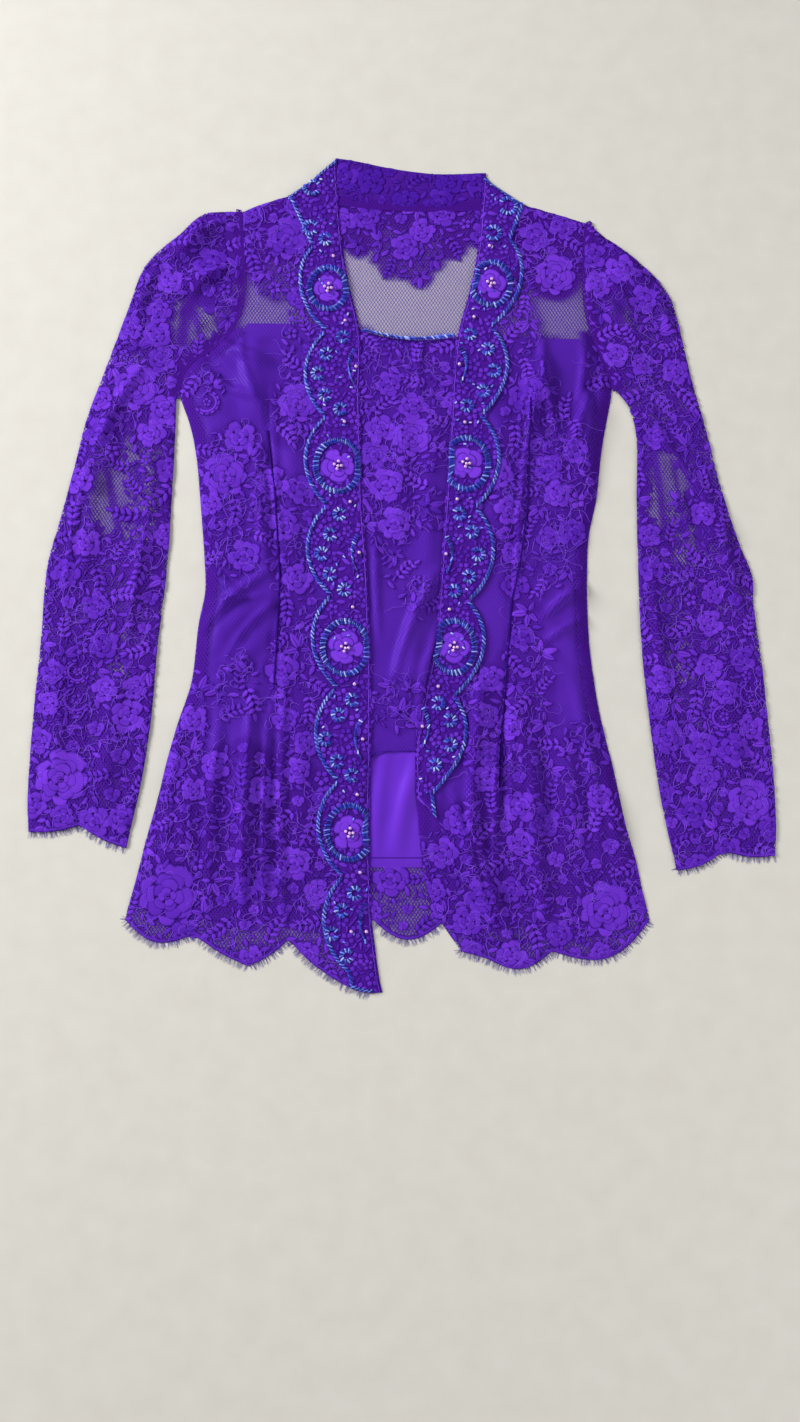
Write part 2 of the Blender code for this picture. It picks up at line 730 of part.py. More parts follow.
# Back: the lace panel on the table, the collar stand above its neck seam, and the lining
shoulder_left = list(zip(*BACK_SHOULDER_LEFT.values()))
shoulder_right = list(zip(*BACK_SHOULDER_RIGHT.values()))
back_outline = joined(
    [left_seam[0]], shoulder_left, arcs(NECK_SEAM)[1:-1], shoulder_right,
    between(right_seam, RIGHT["y"][0], HEM_BACK["y"][-1] + SEAM_GAP), arcs(HEM_BACK)[::-1],
    between(left_seam, ARMHOLE_LEFT[0], HEM_BACK["y"][0] + SEAM_GAP)[::-1])
flat_sheet("back", back_outline, 0.0, under_lace)
collar_foot = moved(arcs(NECK_SEAM), -COLLAR_GAP)
collar_foot[0] = (COLLAR_TOP["x"][0], collar_foot[0][1])
collar_foot[-1] = (COLLAR_TOP["x"][-1], collar_foot[-1][1])
flat_sheet("collar", joined(arcs(COLLAR_TOP), collar_foot[::-1]), 0.0, band_lace, COLLAR_THICKNESS)
flat_sheet("back_lining", OUTLINES["back_lining"], LAYER, satin)

# Fronts: linings, lace, kutubaru panel and beaded bands
for name in ("front_lining_left", "front_lining_right"):
    sheet(name, net, areas[name][0], resting_on(1), satin)
sheet("kutubaru_lining", net, areas["kutubaru"][0], resting_on(1), satin)
for name in ("front_left", "front_right", "kutubaru"):
    sheet(name, net, areas[name][0], resting_on(2), lace)
for name in ("band_left", "band_right"):
    sheet(name, net, areas[name][0], resting_on(3), band_lace)
rope_left = at(LEFT, "inner", KUTUBARU_TOP["y"][1]) + ROPE_CLEARANCE
rope_right = at(RIGHT, "inner", KUTUBARU_TOP["y"][2]) - ROPE_CLEARANCE
rope("kutubaru_rope", KUTUBARU_TOP, rope_left, rope_right, 3 * LAYER + ROPE_DIAMETER / 2, beads)

# Sleeves, set in along the armholes
left_armhole = [(x - SLEEVE_GAP, y) for x, y in between(left_seam, *ARMHOLE_LEFT)][::-1]
sleeve("sleeve_left", SLEEVE_LEFT_OUTER, SLEEVE_LEFT_INNER, CUFF_LEFT,
       [through(SLEEVE_LEFT_INNER)[0]] + left_armhole + [through(SLEEVE_LEFT_OUTER)[0]],
       SLEEVE_LEFT_FOLDS, -1, lace)
right_armhole = [(x + SLEEVE_GAP, y) for x, y in between(right_seam, *ARMHOLE_RIGHT)][::-1]
sleeve("sleeve_right", SLEEVE_RIGHT_OUTER, SLEEVE_RIGHT_INNER, CUFF_RIGHT,
       [through(SLEEVE_RIGHT_INNER)[0]] + right_armhole + [through(SLEEVE_RIGHT_OUTER)[0]],
       SLEEVE_RIGHT_FOLDS, 1, lace)

# Eyelash fringe along the hems and cuffs
fringe("fringe_back", arcs(HEM_BACK), BACK_LOCK, lashes)
fringe("fringe_front_left", arcs(HEM_LEFT), HEM_LOCK, lashes)
fringe("fringe_front_right", arcs(HEM_RIGHT), HEM_LOCK, lashes)
fringe("fringe_cuff_left", arcs(CUFF_LEFT), HEM_LOCK, lashes)
fringe("fringe_cuff_right", arcs(CUFF_RIGHT), HEM_LOCK, lashes)
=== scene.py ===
"""Dresses the laid-out lace kebaya: satin linings, lace on net, beaded bands, pearls and fringe.

Places in the tables are in millimetres on the lying plane, +x to the right and +y to the collar,
from the same origin as the solids. Heights and meshes are in metres. Colours are as seen, 0 to 255.
"""
import json
import random
from math import ceil, cos, hypot, pi, radians, sin, tan

import bmesh
import bpy
import numpy as np
from mathutils import Matrix, Vector
from mathutils.bvhtree import BVHTree
from mathutils.geometry import delaunay_2d_cdt
from mathutils.kdtree import KDTree

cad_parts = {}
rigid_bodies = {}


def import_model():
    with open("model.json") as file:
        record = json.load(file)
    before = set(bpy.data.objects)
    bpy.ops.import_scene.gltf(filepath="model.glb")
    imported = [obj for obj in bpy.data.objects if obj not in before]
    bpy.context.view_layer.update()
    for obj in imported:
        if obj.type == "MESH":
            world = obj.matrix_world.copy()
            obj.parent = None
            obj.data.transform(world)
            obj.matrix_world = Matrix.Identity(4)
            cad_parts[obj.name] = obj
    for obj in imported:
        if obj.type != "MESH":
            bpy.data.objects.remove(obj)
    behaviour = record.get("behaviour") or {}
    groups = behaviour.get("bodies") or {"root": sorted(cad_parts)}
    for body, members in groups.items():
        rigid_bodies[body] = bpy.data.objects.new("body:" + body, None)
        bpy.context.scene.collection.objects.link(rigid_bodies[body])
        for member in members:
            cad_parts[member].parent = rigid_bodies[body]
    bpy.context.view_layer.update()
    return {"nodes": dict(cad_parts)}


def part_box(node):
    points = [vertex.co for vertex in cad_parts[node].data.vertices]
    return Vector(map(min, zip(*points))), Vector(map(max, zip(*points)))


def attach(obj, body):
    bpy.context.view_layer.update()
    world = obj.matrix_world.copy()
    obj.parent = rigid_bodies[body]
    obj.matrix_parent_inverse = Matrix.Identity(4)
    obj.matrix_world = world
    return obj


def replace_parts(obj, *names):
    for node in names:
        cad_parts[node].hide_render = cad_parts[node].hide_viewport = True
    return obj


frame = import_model()
scene = bpy.context.scene
MM = 0.001


# Camera: held by hand above the lower half of the blouse, about a metre up, and tipped a few
# degrees towards the collar. The lens is a wide one.
PICTURE_HEIGHT, FOCAL_LENGTH = 1422.0, 1068.0      # both in the picture's own steps
SENSOR = 36.0
TILT_ACROSS, TILT_ALONG = radians(-0.80), radians(6.36)
CAMERA_PLACE = (-0.0169, -0.2569, 1.0069)
plane = Vector((tan(TILT_ACROSS), tan(TILT_ALONG), 1.0)).normalized()
across = (Vector((1.0, 0.0, 0.0)) - plane * plane.x).normalized()
along = plane.cross(across)
turned = Matrix((
    (across.x, -across.y, -across.z),
    (-along.x, along.y, along.z),
    (-plane.x, plane.y, plane.z),
))
camera_data = bpy.data.cameras.new("camera")
camera_data.lens = SENSOR * FOCAL_LENGTH / PICTURE_HEIGHT
camera_data.sensor_width = SENSOR
camera_data.clip_start = 0.01
camera = bpy.data.objects.new("camera", camera_data)
camera.matrix_world = Matrix.Translation(CAMERA_PLACE) @ turned.to_4x4()
scene.collection.objects.link(camera)
scene.camera = camera
scene.view_settings.view_transform = "Standard"


# Surface and light: a plain pale floor under a bright even sky, with one soft window to the upper
# left that models the folds, and a weak light from the right that opens their dark sides.
def seen(red, green, blue):
    """A colour as seen, 0 to 255, in the linear values that shaders take."""
    shares = [c / 255 for c in (red, green, blue)]
    return tuple(s / 12.92 if s < 0.04 else ((s + 0.055) / 1.055) ** 2.4 for s in shares) + (1.0,)


def add(tree, kind, *inputs, **settings):
    """A node with its settings made and its inputs set, in order, to values or other nodes' outputs."""
    made = tree.nodes.new(kind)
    for name, value in settings.items():
        setattr(made, name, value)
    for socket, value in zip(made.inputs, inputs):
        if isinstance(value, bpy.types.NodeSocket):
            tree.links.new(value, socket)
        elif value is not None:
            socket.default_value = value
    return made


def finish(name, **values):
    """A material with a Principled shader, its sockets set by name. Returns it, its tree and shader."""
    material = bpy.data.materials.new(name)
    material.use_nodes = True
    shader = material.node_tree.nodes["Principled BSDF"]
    for socket, value in values.items():
        shader.inputs[socket.replace("_", " ")].default_value = value
    return material, material.node_tree, shader


FLOOR_SIZE = 6.0
FLOOR_TONES = seen(192, 189, 182), seen(203, 201, 194)
floor_mesh = bpy.data.meshes.new("floor")
half = FLOOR_SIZE / 2
corners = [(-half, -half, 0), (half, -half, 0), (half, half, 0), (-half, half, 0)]
floor_mesh.from_pydata(corners, [], [(0, 1, 2, 3)])
floor = bpy.data.objects.new("floor", floor_mesh)
scene.collection.objects.link(floor)
paint, tree, shader = finish("floor_paint", Roughness=0.85)
mottle = add(tree, "ShaderNodeTexNoise", None, None, 40.0, 4.0)
tree.links.new(add(tree, "ShaderNodeTexCoord").outputs["Object"], mottle.inputs["Vector"])
tint = add(tree, "ShaderNodeMix", data_type="RGBA")
tree.links.new(mottle.outputs["Fac"], tint.inputs["Factor"])
tint.inputs[6].default_value, tint.inputs[7].default_value = FLOOR_TONES
tree.links.new(tint.outputs[2], shader.inputs["Base Color"])
floor_mesh.materials.append(paint)

SKY_COLOUR, SKY_STRENGTH = (1.0, 0.98, 0.96, 1.0), 0.36
world = bpy.data.worlds.new("sky")
world.use_nodes = True
sky = world.node_tree.nodes["Background"].inputs
sky["Color"].default_value, sky["Strength"].default_value = SKY_COLOUR, SKY_STRENGTH
scene.world = world
for name, place, size, power in (
    ("window", (-2.7, 1.1, 1.5), 1.2, 165.0),
    ("bounce", (1.9, -0.8, 1.3), 1.8, 30.0),
):
    light_data = bpy.data.lights.new(name, "AREA")
    light_data.size, light_data.energy = size, power
    light = bpy.data.objects.new(name, light_data)
    light.matrix_world = Vector(place).to_track_quat("Z", "Y").to_matrix().to_4x4()
    light.matrix_world.translation = place
    scene.collection.objects.link(light)


# Back: one piece of lace with a scalloped hem, which the whole blouse lies on. The same lace makes
# the fronts, the sleeves and the kutubaru: a fine net with motifs of closely laid thread.
def table(columns, *rows):
    """A chart with named columns, as a list of dicts."""
    return [dict(zip(columns.split(), row)) for row in rows]


DOWN = Vector((0.0, 0.0, -1.0))
ABOVE = 0.1                 # metres, higher than anything on the blouse


def outline(bm):
    """A net's outline in order, as its corners."""
    start = next(v for v in bm.verts if v.is_boundary)
    loop, last, here = [start], None, start
    while True:
        onward = [e.other_vert(here) for e in here.link_edges if e.is_boundary]
        following = next(v for v in onward if v is not last)
        if following is start:
            return loop
        loop.append(following)
        last, here = here, following


def rounded(loop, step, keep_corner=radians(32), rounds=6):
    """A closed line with points at most a step apart, rounded except at its sharp corners."""
    line, fixed = [], []
    for k, here in enumerate(loop):
        before, after = loop[k - 1], loop[(k + 1) % len(loop)]
        line.append(here)
        fixed.append((here - before).angle(after - here, 0.0) > keep_corner)
        count = ceil((after - here).length / step)
        line += [here.lerp(after, i / count) for i in range(1, count)]
        fixed += [False] * (count - 1)
    for _ in range(rounds):
        middles = [(line[k - 1] + line[(k + 1) % len(line)]) / 2 for k in range(len(line))]
        line = [p if held else p.lerp(m, 0.5) for p, m, held in zip(line, middles, fixed)]
    return line


def distance_to(places):
    """A measure of how far a place is from the nearest of some others, all in metres."""
    found = KDTree(len(places))
    for k, place in enumerate(places):
        found.insert((place[0], place[1], 0.0), k)
    found.balance()
    return lambda x, y: found.find((x, y, 0.0))[2]


def sheet_net(node, step, lowest=0.0, spread=1.0):
    """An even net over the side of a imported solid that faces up, above a height, step mm apart.

    The solid's loose triangles are joined first. A spread widens the net about its middle.
    """
    solid = bmesh.new()
    solid.from_mesh(frame["nodes"][node].data)
    bmesh.ops.remove_doubles(solid, verts=solid.verts, dist=0.02 * MM)
    solid.normal_update()
    rest = [f for f in solid.faces if f.normal.z < 0.35 or f.calc_center_median().z < lowest]
    bmesh.ops.delete(solid, geom=rest, context="FACES")
    surface = BVHTree.FromBMesh(solid)
    line = rounded([v.co.xy for v in outline(solid)], step * MM)
    solid.free()
    from_rim = distance_to(line)
    low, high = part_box(node)
    points, row = list(line), 0
    y = low.y
    while y < high.y:
        x = low.x + (row % 2) * step * MM / 2
        while x < high.x:
            if surface.ray_cast((x, y, ABOVE), DOWN)[0] and from_rim(x, y) > 0.6 * step * MM:
                points.append(Vector((x, y)))
            x += step * MM
        y += step * MM * 0.87
        row += 1
    edges = [(k, (k + 1) % len(line)) for k in range(len(line))]
    flat, _, faces = delaunay_2d_cdt(points, edges, [], 1, 1e-7)[:3]
    middle = (low.x + high.x) / 2
    bm = bmesh.new()
    verts = []
    for x, y in flat:
        hit = surface.ray_cast((x, y, ABOVE), DOWN)[0] or surface.find_nearest((x, y, high.z))[0]
        verts.append(bm.verts.new((middle + (x - middle) * spread, y, hit.z)))
    for face in faces:
        bm.faces.new([verts[k] for k in face])
    return bm


def evened(heights, edges, rounds):
    """Heights with their small steps smoothed away and their larger folds kept."""
    counts = np.bincount(edges.ravel(), minlength=len(heights))
    for factor in (0.55, -0.57) * rounds:
        total = np.bincount(edges[:, 0], heights[edges[:, 1]], len(heights))
        total += np.bincount(edges[:, 1], heights[edges[:, 0]], len(heights))
        heights = heights + factor * (total / counts - heights)
    return heights


def crease_heights(creases, x, y):
    """Rise or fall of the cloth at places in mm, from a table of soft ridges and troughs."""
    total = np.zeros(len(x))
    for c in creases:
        dx, dy = c["x1"] - c["x0"], c["y1"] - c["y0"]
        length = hypot(dx, dy)
        t = ((x - c["x0"]) * dx + (y - c["y0"]) * dy) / length ** 2
        bow = c["bow"] * np.sin(pi * np.clip(t, 0, 1))
        off = np.abs(((x - c["x0"]) * dy - (y - c["y0"]) * dx) / length - bow)
        on = (t > 0) & (t < 1) & (off < c["half"])
        shape = np.cos(pi * off / (2 * c["half"])) ** 2 * np.sin(pi * np.clip(t, 0, 1)) ** 0.7
        total += np.where(on, c["rise"] * shape, 0.0)
    return total


def rumpled(x, y, seed, waves=14):
    """A faint uneven lie of soft cloth, in mm, between about -1 and 1."""
    draw = random.Random(seed)
    total = np.zeros(len(x))
    for _ in range(waves):
        heading, length, phase = draw.uniform(0, pi), draw.uniform(16, 60), draw.uniform(0, 2 * pi)
        total += np.sin((x * cos(heading) + y * sin(heading)) * 2 * pi / length + phase) * length / 38
    return total / waves ** 0.5 * 0.6


FOLD_RISE = 2.1
laid = {}                   # each sheet's surface, for what is laid or sewn on it


def height_at(names, x, y):
    """Top of the named sheets at a place in metres, or the floor."""
    hits = (laid[name].ray_cast(Vector((x, y, ABOVE)), DOWN)[0] for name in names)
    return max((hit.z for hit in hits if hit), default=0.0)


def covers(name, x, y):
    """Whether a sheet has cloth at a place in mm."""
    return laid[name].ray_cast(Vector((x * MM, y * MM, ABOVE)), DOWN)[0] is not None


def lay(name, bm, rests_on=(), creases=(), rumple=0.35, seed=1, press=9.0, clear=0.45, rounds=7):
    """Lays a net of cloth on the sheets below it, evened, creased and pressed down at its edges.

    In mm: rumple is how far faint rumples rise, press how far in from its edge the cloth is pressed
    down, and clear how far above the sheets below it lies.
    """
    bm.verts.index_update()
    co = np.array([v.co for v in bm.verts])
    edges = np.array([[v.index for v in e.verts] for e in bm.edges])
    co[:, 2] = evened(co[:, 2], edges, rounds)
    x, y = co[:, 0] / MM, co[:, 1] / MM
    co[:, 2] += (FOLD_RISE * crease_heights(creases, x, y) + rumple * rumpled(x, y, seed)) * MM
    ground = np.array([height_at(rests_on, px, py) for px, py in co[:, :2]]) + clear * MM
    from_rim = distance_to([v.co for v in bm.verts if v.is_boundary])
    reach = np.array([from_rim(px, py) for px, py in co[:, :2]]) / (press * MM)
    share = np.clip(reach, 0, 1)
    co[:, 2] = ground + np.maximum(co[:, 2] - ground, 0) * share * (2 - share)
    for v, place in zip(bm.verts, co):
        v.co = place
    laid[name] = BVHTree.FromBMesh(bm)


def rim_line(bm, is_near):
    """The stretch of a net's outline that a test takes, in order, as x and y in metres."""
    loop = outline(bm)
    close = [is_near(*v.co.xy) for v in loop]
    gap = next(i for i in range(len(loop)) if not close[i])
    order = [(gap + k) % len(loop) for k in range(len(loop))]
    return [tuple(loop[i].co.xy) for i in order if close[i]]


def near_node(node, reach=3.5):
    """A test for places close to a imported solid's corners."""
    places = sorted({(round(v.co.x, 4), round(v.co.y, 4)) for v in frame["nodes"][node].data.vertices})
    return lambda px, py: min(hypot(px - x, py - y) for x, y in places) < reach * MM


def near_sheets(names, reach=5.0):
    """A test for places close to some laid sheets."""
    return lambda px, py: min(laid[n].find_nearest((px, py, 2 * MM))[3] for n in names) < reach * MM


def show(name, bm, material):
    """Makes a net the mesh of a new smooth piece that rides on the garment."""
    mesh = bpy.data.meshes.new(name)
    bmesh.ops.recalc_face_normals(bm, faces=bm.faces)
    if sum(f.normal.z for f in bm.faces) < 0:
        bmesh.ops.reverse_faces(bm, faces=bm.faces)
    bm.to_mesh(mesh)
    mesh.shade_smooth()
    mesh.materials.append(material)
    piece = bpy.data.objects.new(name, mesh)
    scene.collection.objects.link(piece)
    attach(piece, "root")
    return piece


def shader_group(name, inputs, outputs):
    """A shader node group with named sockets, and its input and output nodes."""
    tree = bpy.data.node_groups.new(name, "ShaderNodeTree")
    for label, value in inputs:
        tree.interface.new_socket(label, in_out="INPUT", socket_type="NodeSocketFloat").default_value = value
    for label, kind in outputs:
        tree.interface.new_socket(label, in_out="OUTPUT", socket_type=kind)
    return tree, tree.nodes.new("NodeGroupInput"), tree.nodes.new("NodeGroupOutput")


def calc(tree, operation, a, b=None, c=None):
    """The result of one sum."""
    return add(tree, "ShaderNodeMath", a, b, c, operation=operation).outputs[0]


def blend_colour(tree, factor, first, second):
    """A colour between two others."""
    made = add(tree, "ShaderNodeMix", data_type="RGBA")
    for socket, value in ((made.inputs["Factor"], factor), (made.inputs[6], first), (made.inputs[7], second)):
        if isinstance(value, bpy.types.NodeSocket):
            tree.links.new(value, socket)
        else:
            socket.default_value = value
    return made.outputs[2]


def use(tree, group, **values):
    """A group placed in a material, with its own values."""
    made = tree.nodes.new("ShaderNodeGroup")
    made.node_tree = group
    for label, value in values.items():
        if isinstance(value, bpy.types.NodeSocket):
            tree.links.new(value, made.inputs[label])
        else:
            made.inputs[label].default_value = value
    return made.outputs


# Net: two sets of fine twisted threads that cross in small diamonds
NET_LEAN, NET_PITCH, NET_WAVER = radians(33), 0.0027, 0.0014
OPEN_THREAD, WORKED_THREAD = 0.13, 0.44      # the threads' width as a share of the pitch
net_threads, given, made = shader_group(
    "net_threads", (("Pitch", NET_PITCH), ("Thread", 0.30)), (("Mask", "NodeSocketFloat"),))
places = add(net_threads, "ShaderNodeTexCoord").outputs["Object"]
waver = add(net_threads, "ShaderNodeTexNoise", places, None, 90.0, 2.0)
bent = add(net_threads, "ShaderNodeVectorMath", waver.outputs["Color"], (NET_WAVER, NET_WAVER, 0.0),
           operation="MULTIPLY")
held = add(net_threads, "ShaderNodeVectorMath", places, bent.outputs[0], operation="ADD")
lines = []
for lean in (NET_LEAN, -NET_LEAN):
    run = add(net_threads, "ShaderNodeVectorMath", held.outputs[0], (cos(lean), sin(lean), 0.0),
              operation="DOT_PRODUCT")
    steps = calc(net_threads, "DIVIDE", run.outputs["Value"], given.outputs["Pitch"])
    off = calc(net_threads, "SUBTRACT", calc(net_threads, "FRACT", steps), 0.5)
    half_width = calc(net_threads, "MULTIPLY", given.outputs["Thread"], 0.5)
    lines.append(calc(net_threads, "LESS_THAN", calc(net_threads, "ABSOLUTE", off), half_width))
net_threads.links.new(calc(net_threads, "MAXIMUM", *lines), made.inputs["Mask"])

# Uneven dye and wear of the cloth: soft patches, and a finer grain
mottled, given, made = shader_group(
    "mottled", (("Patch", 14.0), ("Grain", 420.0)),
    (("Patches", "NodeSocketFloat"), ("Grains", "NodeSocketFloat")))
places = add(mottled, "ShaderNodeTexCoord").outputs["Object"]
for label, source in (("Patches", "Patch"), ("Grains", "Grain")):
    noise = add(mottled, "ShaderNodeTexNoise", places, None, given.outputs[source], 3.0)
    mottled.links.new(noise.outputs["Fac"], made.inputs[label])


def dyed(name, patch, grain, dark, light, **values):
    """A material dyed unevenly between two colours. Returns it, its tree, shader and patches."""
    material, tree, shader = finish(name, **values)
    patches = use(tree, mottled, Patch=patch, Grain=grain)
    tree.links.new(blend_colour(tree, patches["Patches"], dark, light), shader.inputs["Base Color"])
    return material, tree, shader, patches


def mark(tree, label):
    """A value that the mesh carries at each of its points, for a material."""
    return add(tree, "ShaderNodeAttribute", attribute_name=label).outputs["Fac"]


def roughen(tree, shader, height, strength, depth):
    """Gives a material small relief from a height, as deep as said in metres."""
    bump = add(tree, "ShaderNodeBump", strength, depth)
    tree.links.new(height, bump.inputs["Height"])
    tree.links.new(bump.outputs["Normal"], shader.inputs["Normal"])


net_cloth, tree, shader = finish("net_cloth", Roughness=0.85, Specular_IOR_Level=0.05)
worked = mark(tree, "worked")
thickness = calc(tree, "MULTIPLY_ADD", worked, WORKED_THREAD, OPEN_THREAD)
mask = use(tree, net_threads, Pitch=NET_PITCH, Thread=thickness)["Mask"]
patches = use(tree, mottled, Patch=9.0, Grain=300.0)
tree.links.new(calc(tree, "MAXIMUM", mask, calc(tree, "MULTIPLY", worked, 0.5)), shader.inputs["Alpha"])
open_net = blend_colour(tree, patches["Patches"], seen(62, 20, 144), seen(92, 38, 180))
tree.links.new(blend_colour(tree, worked, open_net, seen(62, 14, 128)), shader.inputs["Base Color"])

# Lace motifs: closely laid thread, brighter than the net, with a darker edge where the thread turns
lace_thread, tree, shader = finish("lace_thread", Roughness=0.8, Specular_IOR_Level=0.06)
patches = use(tree, mottled, Patch=30.0, Grain=900.0)
lightness = calc(tree, "ADD", mark(tree, "shade"), mark(tree, "tone"))
body = blend_colour(tree, lightness, seen(66, 20, 150), seen(122, 58, 220))
grained = blend_colour(tree, calc(tree, "MULTIPLY", patches["Grains"], 0.4), body, seen(66, 18, 156))
edged = blend_colour(tree, calc(tree, "POWER", mark(tree, "rim"), 0.75), grained, seen(32, 0, 94))
tree.links.new(edged, shader.inputs["Base Color"])
threads = calc(tree, "SINE", calc(tree, "MULTIPLY", mark(tree, "laying"), 2 * pi))
relief = calc(tree, "ADD", calc(tree, "MULTIPLY", threads, 0.35), patches["Grains"])
roughen(tree, shader, relief, 0.35, 0.0004)


# The motifs are worked flat, each from small laid patches with dark turned edges.
def drawn_out(k, count, edge):
    """Where row k of some lies across a patch, from 0 to 1: its border rows are narrow."""
    if count < 3 or k in (0, count):
        return k / count
    return edge + (1 - 2 * edge) * (k - 1) / (count - 2)


def patch(piece, place, columns=4, rows=3, dome=0.4, thread=0.45, length=8.0, height=0.0, foot=1.0):
    """One laid patch: place(u, v) gives its points in mm, u along and v across the threads.

    Its edges are marked for the dark outline, the inner one (v = 0) only as far as foot says.
    """
    start = len(piece["co"])
    tone = piece["draw"].uniform(-0.16, 0.16)
    for i in range(columns + 1):
        u = drawn_out(i, columns, 0.12)
        for j in range(rows + 1):
            v = drawn_out(j, rows, 0.2)
            x, y = place(u, v)
            edge = i in (0, columns) or j in (0, rows)
            piece["co"].append((x * MM, y * MM, (height + (0.0 if edge else dome)) * MM))
            piece["rim"].append(max(1.0 if i in (0, columns) or j == rows else 0.0, foot if j == 0 else 0.0))
            piece["laying"].append(u * length / thread)
            piece["tone"].append(tone)
    for i in range(columns):
        for j in range(rows):
            a = start + i * (rows + 1) + j
            piece["faces"].append((a, a + rows + 1, a + rows + 2, a + 1))


def leaf(piece, x, y, heading, length, width, **more):
    """A pointed leaf from its foot, heading in degrees."""
    c, s = cos(radians(heading)), sin(radians(heading))

    def place(u, v):
        forth, side = u * length, (v - 0.5) * width * sin(pi * min(max(u, 0.02), 0.985) ** 0.8) ** 0.75
        return x + forth * c - side * s, y + forth * s + side * c
    patch(piece, place, length=length, **more)


def petal(piece, inner, outer, start, end, notch=0.22, lean=0.0, ruffle=0.0, phase=0.0, **more):
    """A round-cornered petal between two radii and two angles in degrees, about the motif's middle."""
    def place(u, v):
        edge = 1 - notch * abs(2 * u - 1) ** 2.6 + ruffle * sin(phase + u * 11)
        radius = inner + (outer * edge - inner) * v
        angle = radians(start + (end - start) * (u + 0.06 * sin(pi * v) * (u - 0.5)) + lean * v)
        return radius * cos(angle), radius * sin(angle)
    patch(piece, place, length=radians(abs(end - start)) * outer, **more)


def ring(piece, x, y, inner, outer, sides=10, height=0.0):
    """A closed ring of thread."""
    patch(piece, lambda u, v: (x + (inner + (outer - inner) * v) * cos(2 * pi * u),
                               y + (inner + (outer - inner) * v) * sin(2 * pi * u)),
          columns=sides, rows=2, length=2 * pi * outer, dome=0.5, height=height, foot=0.4)


def rose(piece, draw, radius, layers, columns=6):
    """A full rose: ruffled petals that lap each other in uneven turns, the inner ones on top."""
    for level, (inner, outer, count) in enumerate(layers):
        widths = [draw.uniform(0.65, 1.35) for _ in range(count)]
        at = draw.uniform(0, 360)
        for width in widths:
            spread = 360 * width / sum(widths)
            petal(piece, inner * radius, outer * radius * draw.uniform(0.86, 1.06), at - 3, at + spread + 3,
                  notch=draw.uniform(0.2, 0.42), lean=draw.uniform(-10, 16), ruffle=draw.uniform(0.0, 0.045),
                  phase=draw.uniform(0, 6), columns=columns, foot=1.0, dome=0.24,
                  height=0.16 * level + draw.uniform(0.0, 0.1))
            at += spread
    ring(piece, 0, 0, radius * 0.02, radius * 0.11, 7, height=0.16 * len(layers))


def spray(piece, draw, pairs, length, leaf_length):
    """A thin curved stem with leaves on both sides and one at its tip."""
    def stem(t):
        return length * (t - 0.5), 3.0 * sin(pi * t) - 1.5
    patch(piece, lambda u, v: (stem(u)[0], stem(u)[1] + (v - 0.5) * 0.9), columns=6, rows=1, dome=0.2)
    for k in range(pairs):
        x, y = stem((k + 0.4) / pairs)
        for side in (1, -1):
            leaf(piece, x, y, side * draw.uniform(42, 62), leaf_length * draw.uniform(0.8, 1.15),
                 leaf_length * 0.62, columns=4)
    leaf(piece, *stem(1.0), draw.uniform(-10, 10), leaf_length, leaf_length * 0.62, columns=4)


def scroll(piece, draw):
    """An open wheel: a curled band with petals along its outer side and a small ring within."""
    def band(u, v):
        radius, angle = 7.2 + 2.4 * v, radians(250 * u)
        return radius * cos(angle), radius * sin(angle)
    patch(piece, band, columns=14, length=34)
    for k in range(9):
        petal(piece, 9.6, draw.uniform(12.2, 13.4), 28 * k + 3, 28 * k + 27, 0.12, columns=3, foot=0.6)
    for k in range(5):
        petal(piece, 1.3, 5.0, 72 * k, 72 * k + 62, 0.3, columns=3, foot=0.4)


def leaves(piece, draw):
    """A branch of broad leaves with dark midribs."""
    for heading, long in ((0, 15), (58, 12), (-62, 13), (128, 10), (-136, 9)):
        heading += draw.uniform(-12, 12)
        x, y = cos(radians(heading)), sin(radians(heading))
        leaf(piece, x, y, heading, long, long * 0.5, columns=5, foot=0.7)
        leaf(piece, x, y, heading, long * 0.8, 0.7, columns=3, rows=1, height=0.5)


def bloom(piece):
    """Five single petals round an open middle."""
    for k in range(5):
        petal(piece, 1.4, 7.5, 72 * k, 72 * k + 66, 0.4)


def marked_mesh(name, piece):
    """Gathered points and faces as a mesh that carries their marks."""
    mesh = bpy.data.meshes.new(name)
    mesh.from_pydata(piece.pop("co"), [], piece.pop("faces"))
    for label, values in piece.items():
        mesh.attributes.new(label, "FLOAT", "POINT").data.foreach_set("value", values)
    bm = bmesh.new()
    bm.from_mesh(mesh)
    bpy.data.meshes.remove(mesh)
    return bm


def boxed(box, name, bm):
    """Keeps a shape in a collection, from which a Geometry Nodes tree places it."""
    mesh = bpy.data.meshes.new(name)
    bm.to_mesh(mesh)
    bm.free()
    box.objects.link(bpy.data.objects.new(name, mesh))


